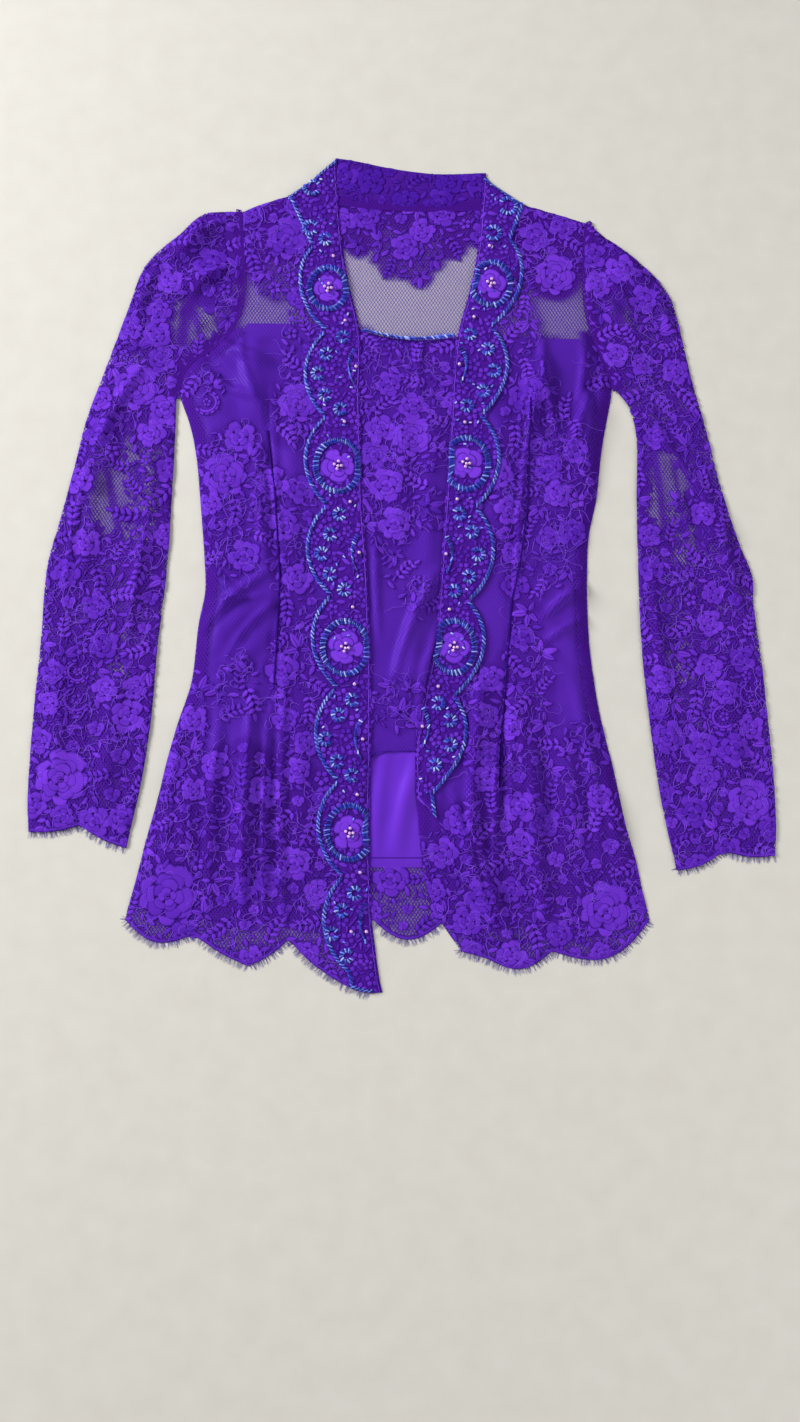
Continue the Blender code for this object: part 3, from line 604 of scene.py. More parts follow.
# Each kind of motif, with its radius in mm. The placing fills in the larger ones first
ROSE_LAYERS = ((0.55, 1.0, 8), (0.38, 0.78, 6), (0.2, 0.54, 5), (0.06, 0.33, 4))
SMALL_ROSE_LAYERS = ((0.45, 1.0, 7), (0.2, 0.66, 5), (0.06, 0.36, 3))
RUFFLE_LAYERS = ((0.3, 1.0, 5), (0.12, 0.62, 4))
KINDS = table(
    "name         radius  flower  darker  fill",
    ("rose",       26.0,   True,   0.0,    lambda p, d: rose(p, d, 26, ROSE_LAYERS, 8)),
    ("small_rose", 16.0,   True,   0.05,   lambda p, d: rose(p, d, 16, SMALL_ROSE_LAYERS)),
    ("rosette",    10.5,   True,   0.1,    lambda p, d: rose(p, d, 10.5, SMALL_ROSE_LAYERS[1:], 5)),
    ("bloom",      7.5,    False,  0.15,   lambda p, d: bloom(p)),
    ("spray",      14.0,   False,  0.0,    lambda p, d: spray(p, d, 4, 24, 8.5)),
    ("leaves",     12.0,   False,  0.0,    leaves),
    ("scroll",     12.5,   True,   0.1,    scroll),
    ("leaf",       5.0,    False,  0.25,   lambda p, d: leaf(p, -5, 0, 0, 10, 5.4)),
    ("dot",        2.9,    False,  0.4,    lambda p, d: leaf(p, -3.2, 0, 0, 6.4, 4.2, columns=3)),
    ("ruffle",     14.0,   True,   0.0,    lambda p, d: rose(p, d, 14, RUFFLE_LAYERS, 10)),
)
KIND = {kind["name"]: i for i, kind in enumerate(KINDS)}
motif_box = bpy.data.collections.new("motifs")
for i, kind in enumerate(KINDS):
    motif_name = f"motif_{i:02d}_{kind['name']}"
    draw = random.Random(motif_name)
    piece = {"co": [], "faces": [], "rim": [], "laying": [], "tone": [], "draw": draw}
    kind["fill"](piece, draw)
    del piece["draw"]
    bm = marked_mesh(motif_name, piece)
    bmesh.ops.remove_doubles(bm, verts=bm.verts, dist=0.004 * MM)
    bmesh.ops.dissolve_degenerate(bm, edges=bm.edges, dist=0.004 * MM)
    boxed(motif_box, motif_name, bm)


def chart_mesh(name, rows):
    """Rows of x, y, turn, size, kind and shade as a mesh of loose points that carry them."""
    mesh = bpy.data.meshes.new(name)
    mesh.from_pydata([(r["x"] * MM, r["y"] * MM, r.get("z", 0.0) * MM) for r in rows], [], [])
    for label, kind, standard in (("turn", "FLOAT", 0.0), ("size", "FLOAT", 1.0), ("kind", "INT", 0),
                                  ("shade", "FLOAT", 0.5), ("tip", "FLOAT", 0.0)):
        values = [r.get(label, standard) for r in rows]
        if label in ("turn", "tip"):
            values = [radians(v) for v in values]
        mesh.attributes.new(label, kind, "POINT").data.foreach_set("value", values)
    return mesh


def geometry_tree(name, sockets):
    """An empty Geometry Nodes tree with its inputs named."""
    tree = bpy.data.node_groups.new(name, "GeometryNodeTree")
    tree.interface.new_socket("Geometry", in_out="INPUT", socket_type="NodeSocketGeometry")
    for label, kind in sockets:
        tree.interface.new_socket(label, in_out="INPUT", socket_type="NodeSocket" + kind)
    tree.interface.new_socket("Geometry", in_out="OUTPUT", socket_type="NodeSocketGeometry")
    return tree, tree.nodes.new("NodeGroupInput").outputs, tree.nodes.new("NodeGroupOutput").inputs


def dropped(tree, shape, cloth, lift, drawn_in):
    """Nodes that drop each point onto the cloth below it. Points past its edge are drawn in to it."""
    surface = add(tree, "GeometryNodeObjectInfo", cloth).outputs["Geometry"]
    here = add(tree, "ShaderNodeSeparateXYZ", add(tree, "GeometryNodeInputPosition").outputs[0]).outputs
    above = add(tree, "ShaderNodeCombineXYZ", here["X"], here["Y"], ABOVE).outputs[0]
    ray = add(tree, "GeometryNodeRaycast", surface, None, above, (0.0, 0.0, -1.0), 2 * ABOVE)
    flat = add(tree, "ShaderNodeCombineXYZ", here["X"], here["Y"], 0.002).outputs[0]
    edge = add(tree, "GeometryNodeProximity", surface, None, flat, target_element="FACES").outputs["Position"]
    if not drawn_in:
        edge_height = add(tree, "ShaderNodeSeparateXYZ", edge).outputs["Z"]
        edge = add(tree, "ShaderNodeCombineXYZ", here["X"], here["Y"], edge_height).outputs[0]
    place = add(tree, "GeometryNodeSwitch", ray.outputs["Is Hit"], edge, ray.outputs["Hit Position"],
                input_type="VECTOR").outputs[0]
    raised = add(tree, "ShaderNodeCombineXYZ", 0.0, 0.0, calc(tree, "ADD", here["Z"], lift)).outputs[0]
    target = add(tree, "ShaderNodeVectorMath", place, raised, operation="ADD").outputs[0]
    return add(tree, "GeometryNodeSetPosition", shape, None, target).outputs[0]


def named(tree, label, kind="FLOAT"):
    """A value that each point carries."""
    return add(tree, "GeometryNodeInputNamedAttribute", label, data_type=kind).outputs["Attribute"]


def placing_tree(name, drawn_in=True, on_cloth=True):
    """Puts a shape from a collection at each point, turned, tipped and sized, and drops it on the cloth."""
    tree, given, result = geometry_tree(
        name, (("Cloth", "Object"), ("Shapes", "Collection"), ("Lift", "Float"), ("Material", "Material")))
    shapes = add(tree, "GeometryNodeCollectionInfo", given["Shapes"], True, True).outputs[0]
    angles = add(tree, "ShaderNodeCombineXYZ", 0.0, named(tree, "tip"), named(tree, "turn")).outputs[0]
    turn = add(tree, "FunctionNodeEulerToRotation", angles).outputs[0]
    put = add(tree, "GeometryNodeInstanceOnPoints", given["Geometry"], None, shapes, True,
              named(tree, "kind", "INT"), turn)
    tree.links.new(named(tree, "size"), put.inputs["Scale"])
    shape = add(tree, "GeometryNodeRealizeInstances", put.outputs[0]).outputs[0]
    if on_cloth:
        shape = dropped(tree, shape, given["Cloth"], given["Lift"], drawn_in)
    smooth = add(tree, "GeometryNodeSetShadeSmooth", shape).outputs[0]
    coloured = add(tree, "GeometryNodeSetMaterial", smooth, None, given["Material"])
    tree.links.new(coloured.outputs[0], result[0])
    return tree


def grown(name, mesh, tree, slot, **values):
    """A piece made by a Geometry Nodes tree from a chart, turned into a plain mesh."""
    piece = bpy.data.objects.new(name, mesh)
    scene.collection.objects.link(piece)
    modifier = piece.modifiers.new(name, "NODES")
    modifier.node_group = tree
    for item in tree.interface.items_tree:
        if item.in_out == "INPUT" and item.name in values:
            modifier[item.identifier] = values[item.name]
    evaluated = piece.evaluated_get(bpy.context.evaluated_depsgraph_get())
    plain = bpy.data.meshes.new_from_object(evaluated)
    piece.modifiers.clear()
    piece.data = plain
    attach(piece, "root")
    return piece


sewn_motifs = placing_tree("sewn_motifs")


def cluster_at(clusters, x, y):
    """The last of some oval clusters that holds a place, thinned near its border, or None."""
    for c in reversed(clusters):
        inside = 1 - ((x - c["x"]) / c["rx"]) ** 2 - ((y - c["y"]) / c["ry"]) ** 2
        if inside > 0:
            return dict(c, level=c["level"] * min(1.0, 0.3 + 3.0 * inside))
    return None


def worked_rows(cloth, fixed, clusters, seed, kinds, close=0.78, shades=(0.4, 0.8)):
    """Chart of a lace's motifs: those listed, then others of falling size between them."""
    draw = random.Random(seed)
    rows = [dict(row, kind=KIND[row["kind"]], shade=row.get("shade", draw.uniform(*shades) - 0.1))
            for row in fixed]
    taken = [(r["x"], r["y"], KINDS[r["kind"]]["radius"] * r["size"]) for r in rows]
    low, high = (np.array(corner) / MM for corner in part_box(cloth))
    for name in kinds:
        kind = KINDS[KIND[name]]
        step = kind["radius"] * 1.05
        across, along = (ceil(reach / step) for reach in high[:2] - low[:2])
        spots = [(low[0] + (i + draw.random()) * step, low[1] + (j + draw.random()) * step)
                 for i in range(across) for j in range(along)]
        draw.shuffle(spots)
        for x, y in spots:
            size = draw.uniform(0.8, 1.15)
            radius = kind["radius"] * size
            cluster = cluster_at(clusters, x, y)
            if not cluster:
                continue
            if draw.random() > cluster["level"] * (cluster["flowers"] if kind["flower"] else 1):
                continue
            held = np.array(taken) if taken else np.full((1, 3), -1e4)
            room = np.hypot(held[:, 0] - x, held[:, 1] - y) - (held[:, 2] + radius) * close
            if room.min() < 0 or not covers(cloth, x, y):
                continue
            taken.append((x, y, radius))
            rows.append({"x": x, "y": y, "turn": draw.uniform(0, 360), "size": size, "kind": KIND[name],
                         "shade": draw.uniform(*shades) - kind["darker"]})
    return rows


GROUND_REACH = 4.2           # how far past a motif the thick ground between motifs runs out, in mm
# The dark doubled net along the body's sides, between two heights of the lying plane, in mm
SIDE_SEAM = {"low": -262, "high": 232, "reach": 15.0, "dark": 0.85}


def mark_ground(piece, rows, clusters, doubled=(), sheer=0.0, seam=None):
    """Marks on a cloth where its net is worked thickly, round the motifs, and where it lies double."""
    co = np.array([v.co for v in piece.data.vertices])[:, :2] / MM
    marks = np.full(len(co), sheer)
    if seam:
        bm = bmesh.new()
        bm.from_mesh(piece.data)
        rim = np.array([v.co[:2] for v in bm.verts if v.is_boundary]) / MM
        bm.free()
        beside = np.flatnonzero((co[:, 1] > seam["low"]) & (co[:, 1] < seam["high"]))
        for i in beside:
            off = np.hypot(*(rim - co[i]).T).min() / seam["reach"]
            marks[i] = max(sheer, seam["dark"] * min(1.0, max(0.0, 2.2 * (1 - off))))
    for r in rows:
        cluster = cluster_at(clusters, r["x"], r["y"])
        ground = cluster["ground"] if cluster else 0.3
        radius = KINDS[r["kind"]]["radius"] * r["size"]
        near = np.abs(co - (r["x"], r["y"])).max(axis=1) < radius + GROUND_REACH
        off = np.hypot(*(co[near] - (r["x"], r["y"])).T) - radius
        marks[near] = np.maximum(marks[near], ground * np.clip(1 - off / GROUND_REACH, 0, 1))
    for d in doubled:
        line = np.array((d["x1"] - d["x0"], d["y1"] - d["y0"]))
        t = np.clip((co - (d["x0"], d["y0"])) @ line / (line @ line), 0, 1)
        off = np.hypot(*(co - (d["x0"], d["y0"]) - t[:, None] * line).T)
        marks = np.maximum(marks, d["dark"] * np.clip(1.6 * (1 - off / d["half"]), 0, 1))
    piece.data.attributes.new("worked", "FLOAT", "POINT").data.foreach_set("value", marks)


# The kinds that fill a lace between its large roses, in the order in which they find room
FILLING = ("small_rose", "spray", "leaves", "rosette", "scroll", "leaves", "leaf", "bloom", "dot")


def motifs_on(name, cloth, fixed, clusters, seed, slot="lace", lift=0.25, kinds=FILLING, shades=(0.4, 0.8),
              **ground):
    """Sews the charted motifs onto a sheet as one piece."""
    rows = worked_rows(cloth, fixed, clusters, seed, kinds, shades=shades)
    mark_ground(pieces[cloth], rows, clusters, **ground)
    return grown(name, chart_mesh(name, rows), sewn_motifs, slot, Cloth=pieces[cloth],
                 Shapes=motif_box, Lift=lift * MM, Material=lace_thread)


# Loose cords: the thin shiny thread that runs in loops over the lace between its motifs
CORD_RADIUS, CORD_STEP = 0.23, 2.0           # both in mm
cord_thread = dyed("cord_thread", 120.0, 700.0, seen(98, 42, 196), seen(146, 88, 240),
                   Roughness=0.6, Specular_IOR_Level=0.2)[0]
loose_cord, given, result = geometry_tree(
    "loose_cord", (("Cloth", "Object"), ("Radius", "Float"), ("Lift", "Float"), ("Material", "Material")))
strand = add(loose_cord, "GeometryNodeMeshToCurve", given["Geometry"]).outputs[0]
profile = add(loose_cord, "GeometryNodeCurvePrimitiveCircle", 3)
loose_cord.links.new(given["Radius"], profile.inputs["Radius"])
tube = add(loose_cord, "GeometryNodeCurveToMesh", strand, profile.outputs[0]).outputs[0]
tube = dropped(loose_cord, tube, given["Cloth"], given["Lift"], True)
tube = add(loose_cord, "GeometryNodeSetShadeSmooth", tube).outputs[0]
tube = add(loose_cord, "GeometryNodeSetMaterial", tube, None, given["Material"]).outputs[0]
loose_cord.links.new(tube, result[0])


def lines_mesh(name, lines):
    """Lines of points in mm as a mesh of edges."""
    points, edges = [], []
    for line in lines:
        edges += [(len(points) + k, len(points) + k + 1) for k in range(len(line) - 1)]
        points += [(x * MM, y * MM, 0.0) for x, y in line]
    mesh = bpy.data.meshes.new(name)
    mesh.from_pydata(points, edges, [])
    return mesh


def cords_on(name, cloth, clusters, count, seed, slot="lace"):
    """Loops of loose cord over the worked part of a lace."""
    draw = random.Random(seed)
    low, high = (np.array(corner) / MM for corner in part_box(cloth))
    lines = []
    while len(lines) < count:
        x, y, heading = draw.uniform(low[0], high[0]), draw.uniform(low[1], high[1]), draw.uniform(0, 2 * pi)
        cluster = cluster_at(clusters, x, y)
        if not cluster or cluster["level"] < 0.3 or not covers(cloth, x, y):
            continue
        bend, line = draw.uniform(-0.6, 0.6), [(x, y)]
        for _ in range(draw.randint(9, 18)):
            bend = max(-0.8, min(0.8, 0.85 * bend + draw.uniform(-0.4, 0.4)))
            heading += bend
            x, y = x + CORD_STEP * cos(heading), y + CORD_STEP * sin(heading)
            if not covers(cloth, x, y):
                break
            line.append((x, y))
        if len(line) > 3:
            lines.append(line)
    return grown(name, lines_mesh(name, lines), loose_cord, slot, Cloth=pieces[cloth],
                 Radius=CORD_RADIUS * MM, Lift=0.6 * MM, Material=cord_thread)


pieces = {}                 # each sheet's finished piece, under its node's name
BACK_CLUSTERS = table(
    "x y rx ry level flowers ground",
    (0, 30, 260, 262, 0.3, 0.3, 0.4),  # under the linings
    (0, 258, 300, 34, 0.0, 0.0, 0.0),  # plain net below the yoke
    (0, 366, 180, 46, 1.0, 0.7, 1.0), (6, 318, 36, 30, 1.0, 0.3, 0.8), (0, -300, 260, 46, 1.0, 0.6, 0.55),
)
BACK_MOTIFS = table(
    "x y turn size kind",
    (-36, 352, 0, 1.0, "small_rose"), (40, 356, 0, 1.0, "small_rose"), (-2, 350, 0, 1.1, "rosette"),
    (2, 320, 40, 1.0, "small_rose"), (-22, 326, 150, 0.9, "leaves"), (-44, 322, 200, 0.9, "leaves"),
    (-12, 300, -110, 0.8, "spray"), (17, 290, -80, 0.9, "leaves"), (30, 308, -50, 0.9, "leaves"),
    (50, 322, -60, 0.9, "spray"), (62, 345, 0, 0.9, "bloom"), (4, -330, 0, 0.9, "rosette"),
)


EDGING_ROWS = (0.3, 1.7, 3.0)                # how far inside the hem its lines run, in mm
SCALLOP_LENGTH, SCALLOP_DEPTH = 7.0, 2.0


def hem_edging(name, line, lift=0.35):
    """A closely worked scalloped edging along a hem, from the hem's own line in metres."""
    piece = {"co": [], "faces": [], "rim": [], "laying": [], "shade": []}
    run = 0.0
    for i, (x, y) in enumerate(line):
        x0, y0 = line[max(i - 1, 0)]
        x1, y1 = line[min(i + 1, len(line) - 1)]
        length = hypot(x1 - x0, y1 - y0)
        nx, ny = (y1 - y0) / length, (x0 - x1) / length
        if not covers(name, (x - nx * 3 * MM) / MM, (y - ny * 3 * MM) / MM):
            nx, ny = -nx, -ny
        run += hypot(x - line[max(i - 1, 0)][0], y - line[max(i - 1, 0)][1]) / MM
        for j, row in enumerate(EDGING_ROWS):
            depth = row + (SCALLOP_DEPTH * abs(sin(pi * run / SCALLOP_LENGTH)) if j == 2 else 0.0)
            px, py = x - nx * depth * MM, y - ny * depth * MM
            z = height_at([name], px, py)
            piece["co"].append((px, py, z + (lift + (0.35 if j == 1 else 0.0)) * MM))
            piece["rim"].append(0.0 if j == 1 else 0.8)
            piece["laying"].append(run / 0.5)
            piece["shade"].append(0.6)
        if i:
            a = (i - 1) * 3
            piece["faces"] += [(a + j, a + j + 1, a + j + 4, a + j + 3) for j in range(2)]
    return show(name + "_edging", marked_mesh(name, piece), lace_thread)


# Eyelash fringe: the lace's own loose warp threads, left uncut past its scalloped edges
lash_thread = dyed("lash_thread", 300.0, 900.0, seen(44, 14, 120), seen(88, 46, 190), Roughness=0.75)[0]
lash_box = bpy.data.collections.new("lashes")
LASH_LENGTH, LASH_RADIUS = 6.0, 0.2          # of one thread, in mm
LASH_STEP = 0.95                             # from one thread to the next, in mm
for k, bend in enumerate((-0.9, 0.0, 0.8)):
    bm = bmesh.new()
    rings = []
    for t in (0.0, 0.4, 0.75):
        radius = LASH_RADIUS * (1 - 0.6 * t)
        forth, aside, up = t * LASH_LENGTH + 0.01, bend * t * t * 1.4, 0.55 - 0.2 * t
        rings.append([bm.verts.new((forth * MM, (aside + radius * cos(a)) * MM, (up + radius * sin(a)) * MM))
                      for a in (0.0, 2.1, 4.2)])
    tip = bm.verts.new((LASH_LENGTH * MM, bend * 1.4 * MM, 0.32 * MM))
    for low_ring, high_ring in zip(rings, rings[1:]):
        for a in range(3):
            bm.faces.new([low_ring[a], high_ring[a], high_ring[(a + 1) % 3], low_ring[(a + 1) % 3]])
    for a in range(3):
        bm.faces.new([rings[-1][a], tip, rings[-1][(a + 1) % 3]])
    bm.faces.new(rings[0])
    bmesh.ops.recalc_face_normals(bm, faces=bm.faces)
    boxed(lash_box, f"lash_{k}", bm)
free_placing = placing_tree("free_placing", on_cloth=False)


def lashes_along(name, cloth, line, seed):
    """A fringe of single threads along a hem's line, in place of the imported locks."""
    draw = random.Random(seed)
    rows, owed = [], 0.0
    for (x0, y0), (x1, y1) in zip(line, line[1:]):
        length = hypot(x1 - x0, y1 - y0) / MM
        nx, ny = (y1 - y0), (x0 - x1)
        if covers(cloth, ((x0 + x1) / 2 + nx / length * 3) / MM, ((y0 + y1) / 2 + ny / length * 3) / MM):
            nx, ny = -nx, -ny
        outward = np.degrees(np.arctan2(ny, nx))
        owed += length
        while owed > LASH_STEP:
            owed -= LASH_STEP
            t = draw.random()
            rows.append({"x": (x0 + (x1 - x0) * t) / MM, "y": (y0 + (y1 - y0) * t) / MM,
                         "turn": outward + draw.gauss(0, 9), "size": draw.uniform(0.75, 1.25),
                         "kind": draw.randrange(3)})
    piece = grown(name + "_lashes", chart_mesh(name, rows), free_placing, "fringe", Shapes=lash_box,
                  Material=lash_thread)
    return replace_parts(piece, name)


bm = sheet_net("back", 5.0)
lay("back", bm, rumple=0.0, press=5.0, clear=0.3)
back_hem = rim_line(bm, near_node("fringe_back"))
pieces["back"] = show("back_net", bm, net_cloth)
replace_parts(pieces["back"], "back")
back_parts = [
    motifs_on("back_motifs", "back", BACK_MOTIFS, BACK_CLUSTERS, 3, sheer=0.13, seam=SIDE_SEAM),
    hem_edging("back", back_hem),
    lashes_along("fringe_back", "back", back_hem, 11),
]


# Linings: smooth dress satin cut to the bust and hip, stitched in at the side seams, turned up and
# stitched at the hem. They give the lace its colour and sheen.
satin, tree, shader, patches = dyed(
    "satin", 8.0, 1600.0, seen(82, 32, 172), seen(108, 52, 198),
    Roughness=0.42, Specular_IOR_Level=0.32, Specular_Tint=seen(128, 84, 236))
roughen(tree, shader, patches["Grains"], 0.12, 0.0003)

FRONT_CREASES = table(
    "x0 y0 x1 y1 half bow rise",
    (-132, 178, -119, -30, 3.0, 4, -3.0),  # left dart and the fullness beside it
    (-124, 150, -111, -20, 5.0, 4, 1.6), (-141, 120, -128, -20, 6.0, 4, 1.4),
    (-119, -30, -128, -170, 3.5, 3, -2.4),
    (-195, 231, -122, 196, 9, 5, 2.8),  # left bust
    (-205, 196, -140, 160, 7, 4, 2.4), (-178, 232, -128, 222, 7, 3, 1.6), (-160, 240, -138, 150, 6, 6, 1.6),
    (-200, 222, -160, 168, 6, 3, -3.0),
    (-127, -8, -193, -72, 8, 5, 3.0),  # left waist
    (-132, -34, -186, -44, 4, 3, 2.0), (-118, -36, -170, -98, 6, 4, 1.8), (-188, -4, -150, -38, 5, 2, 1.8),
    (126, 190, 98, -140, 3.0, 6, -3.0),  # right dart
    (134, 180, 108, -20, 5.0, 6, 1.6), (98, -120, 92, -235, 5, 2, -3.0), (106, -130, 101, -250, 5, 2, 2.0),
    (138, 240, 150, 120, 7, 6, 3.2),  # right bust
    (196, 190, 160, 100, 7, 4, 2.6), (178, 235, 168, 150, 6, -4, 2.2), (204, 236, 182, 140, 8, 4, -3.6),
    (182, -18, 128, -62, 6, 4, 2.8),  # right waist
    (180, -52, 130, -84, 5, 3, 2.0),
    (74, -110, 66, -300, 8, 5, 3.4),  # right peplum
    (92, -140, 84, -340, 5, 3, 2.4), (124, -150, 130, -340, 9, 5, 2.8), (160, -110, 184, -300, 8, -5, 2.2),
    (44, -214, 88, -352, 6, 4, 3.0),  # the front edge folded under
    (60, -236, 106, -372, 5, 4, 2.6),
    (-170, -130, -180, -330, 9, 4, 2.4),  # left peplum
    (-140, -110, -148, -350, 7, 4, 3.0), (-126, -120, -128, -350, 4.5, 3, 2.8),
    (-112, -100, -110, -350, 6, 3, 2.6), (-206, -150, -222, -300, 7, 4, 1.8),
    (34, -6, -12, -130, 8, 6, 3.2),  # kutubaru
    (38, -50, 12, -176, 7, 5, 2.4), (-26, 40, -22, -80, 4, 2, 2.0), (22, 250, 16, 150, 6, 4, 1.4),
)
LINING_SEEN_CREASES = table(
    "x0 y0 x1 y1 half bow rise",
    (22, -170, -8, -285, 12, 4, 2.0), (-14, -170, -26, -285, 9, 2, 1.0), (36, -170, 24, -285, 8, -2, 1.2),
)
for name, below, creases in (
    ("back_lining", ("back",), LINING_SEEN_CREASES),
    ("front_lining_left", ("back", "back_lining"), FRONT_CREASES),
    ("front_lining_right", ("back", "back_lining"), FRONT_CREASES),
    ("kutubaru_lining", ("back", "back_lining"), FRONT_CREASES),
):
    bm = sheet_net(name, 4.0)
    lay(name, bm, below, creases)
    pieces[name] = show(name + "_satin", bm, satin)
    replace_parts(pieces[name], name)


# Fronts and kutubaru: the same lace as the back, over the satin. Each front has its darts as
# creases, and its motifs gather at the shoulder, down the front and above the scalloped hem.
LEFT_CLUSTERS = table(
    "x y rx ry level flowers ground",
    (-125, 345, 64, 52, 1.0, 0.8, 1.0),  # shoulder
    (-118, 288, 32, 24, 0.9, 0.4, 0.6), (-100, 205, 20, 62, 0.5, 0.2, 0.2),
    (-103, 152, 26, 32, 0.9, 0.5, 0.5),
    (-190, 172, 16, 18, 0.9, 0.4, 0.3),  # bust seam
    (-165, 58, 42, 76, 0.95, 0.4, 0.4),
    (-102, 10, 22, 74, 0.75, 0.3, 0.4),  # between the dart and the band
    (-100, -115, 26, 80, 0.85, 0.5, 0.5), (-158, -122, 20, 34, 0.6, 0.1, 0.2),
    (-206, -150, 22, 54, 0.55, 0.3, 0.4),
    (-155, -330, 140, 150, 1.0, 0.7, 0.6),  # hem
    (-152, -206, 16, 22, 0.2, 0.1, 0.2),
)
LEFT_MOTIFS = table(
    "x y turn size kind",
    (-115, 326, 0, 0.95, "rose"), (-103, 155, 20, 0.85, "rose"), (-172, 82, 40, 0.95, "rose"),
    (-152, 4, 0, 1.1, "small_rose"), (-188, 30, 70, 1.0, "leaves"), (-186, 174, 30, 0.8, "leaves"),
    (-127, 276, 0, 1.0, "bloom"), (-110, 286, 30, 1.0, "bloom"), (-110, 228, 0, 1.0, "bloom"),
    (-154, -116, 80, 0.9, "spray"), (-150, -206, 85, 1.0, "spray"), (-218, -318, 0, 1.2, "rose"),
    (-157, -280, 0, 1.4, "rosette"), (-167, -322, 0, 1.1, "rosette"), (-146, -344, 0, 1.0, "rosette"),
    (-110, -330, 0, 1.2, "rosette"), (-203, -237, 0, 0.9, "rosette"), (-187, -260, 0, 0.8, "rosette"),
    (-101, -288, 0, 1.1, "small_rose"), (-99, -202, 0, 0.9, "small_rose"), (-98, -230, 0, 1.0, "rosette"),
    (-191, -288, 0, 1.0, "bloom"), (-170, -236, 200, 1.3, "scroll"), (-218, -272, 0, 1.0, "rosette"),
    (-129, -262, 40, 1.1, "leaves"),
)
RIGHT_CLUSTERS = table(
    "x y rx ry level flowers ground",
    (130, 335, 66, 52, 1.0, 0.8, 1.0),  # shoulder
    (110, 250, 24, 50, 0.6, 0.3, 0.4), (120, 165, 26, 42, 0.85, 0.4, 0.5),
    (194, 196, 14, 26, 0.9, 0.3, 0.4), (150, 82, 32, 76, 0.9, 0.4, 0.4), (140, -8, 22, 22, 0.8, 0.4, 0.3),
    (104, 60, 18, 86, 0.6, 0.3, 0.4), (116, -140, 24, 92, 0.8, 0.4, 0.5),
    (82, -165, 30, 66, 0.95, 0.5, 0.6), (172, -182, 24, 30, 0.6, 0.2, 0.3),
    (208, -160, 14, 70, 0.6, 0.3, 0.4),
    (140, -330, 140, 125, 1.0, 0.7, 0.6),  # hem
)
RIGHT_MOTIFS = table(
    "x y turn size kind",
    (151, 290, 0, 0.9, "rose"), (193, 200, 80, 0.9, "leaves"), (120, 162, 0, 0.8, "rose"),
    (168, 60, 0, 1.3, "bloom"), (141, 92, 20, 1.0, "small_rose"), (141, -8, 0, 1.2, "rosette"),
    (79, -150, 0, 0.85, "small_rose"), (80, -186, 0, 0.9, "small_rose"), (107, -180, 0, 0.9, "rosette"),
    (108, -208, 0, 1.1, "rosette"), (138, -201, 20, 0.9, "leaves"), (160, -240, 0, 1.5, "bloom"),
    (172, -184, 60, 0.9, "spray"), (142, -284, 0, 1.4, "rosette"), (193, -272, 0, 1.4, "rosette"),
    (196, -296, 0, 0.8, "bloom"), (188, -332, 0, 1.05, "rose"), (166, -296, 70, 0.9, "leaves"),
    (147, -322, 0, 0.9, "rosette"), (122, -330, -40, 1.0, "leaves"), (72, -318, 0, 1.1, "small_rose"),
    (58, -284, 0, 1.0, "rosette"), (96, -352, 0, 0.9, "rosette"),
)
FOLDED_UNDER = table(
    "x0 y0 x1 y1 half dark",
    (24, -232, 74, -366, 26, 0.6),
)
KUTUBARU_CLUSTERS = table(
    "x y rx ry level flowers ground",
    (0, 180, 64, 72, 0.9, 0.3, 0.5), (4, 118, 34, 34, 1.0, 0.4, 0.6), (-14, 62, 30, 56, 0.95, 0.3, 0.5),
    (24, 51, 22, 20, 0.8, 0.2, 0.3), (-9, -6, 12, 20, 0.7, 0.2, 0.2), (16, -38, 18, 20, 0.7, 0.2, 0.2),
    (0, -140, 40, 26, 0.35, 0.2, 0.3),
)
KUTUBARU_MOTIFS = table(
    "x y turn size kind",
    (8, 121, 0, 0.85, "rose"), (-16, 74, 0, 1.2, "small_rose"), (-8, 36, 0, 1.15, "small_rose"),
    (24, 52, 30, 1.1, "leaves"), (-8, 6, -80, 0.8, "leaves"), (21, -28, 0, 0.9, "bloom"),
    (8, -47, 0, 0.8, "rosette"), (-12, 216, 0, 0.9, "bloom"), (34, 178, 0, 0.8, "leaves"),
    (-14, 176, 0, 0.9, "small_rose"),
)
for name, below, clusters, fixed, fringe, seed, cords in (
    ("front_left", ("back", "back_lining", "front_lining_left"), LEFT_CLUSTERS, LEFT_MOTIFS,
     "fringe_front_left", 21, 480),
    ("front_right", ("back", "back_lining", "front_lining_right"), RIGHT_CLUSTERS, RIGHT_MOTIFS,
     "fringe_front_right", 22, 480),
    ("kutubaru", ("back", "back_lining", "kutubaru_lining"), KUTUBARU_CLUSTERS, KUTUBARU_MOTIFS,
     None, 23, 150),
):
    bm = sheet_net(name, 3.5)
    lay(name, bm, below, FRONT_CREASES)
    hem = rim_line(bm, near_node(fringe)) if fringe else []
    pieces[name] = show(name + "_net", bm, net_cloth)
    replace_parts(pieces[name], name)
    seam = SIDE_SEAM if fringe else None
    doubled = FOLDED_UNDER if name == "front_right" else ()
    sewn = [motifs_on(name + "_motifs", name, fixed, clusters, seed, sheer=0.16, seam=seam, doubled=doubled),
            cords_on(name + "_cords", name, clusters, cords, seed)]
    if fringe:
        sewn.append(hem_edging(name, hem))
        sewn.append(lashes_along(fringe, name, hem, seed))


# Darts: a narrow dark line down each front, from the bust to below the waist, partly the dart's seam and
# partly painted shade of its valley. The back lining's turned-up hem has one thin line of real stitches.
def lines_on(name, cloth, lines, radius, lift, material, slot="lace"):
    """Threads of one thickness laid on a sheet along lines of points in mm."""
    return grown(name, lines_mesh(name, lines), loose_cord, slot, Cloth=pieces[cloth], Radius=radius * MM,
                 Lift=lift * MM, Material=material)


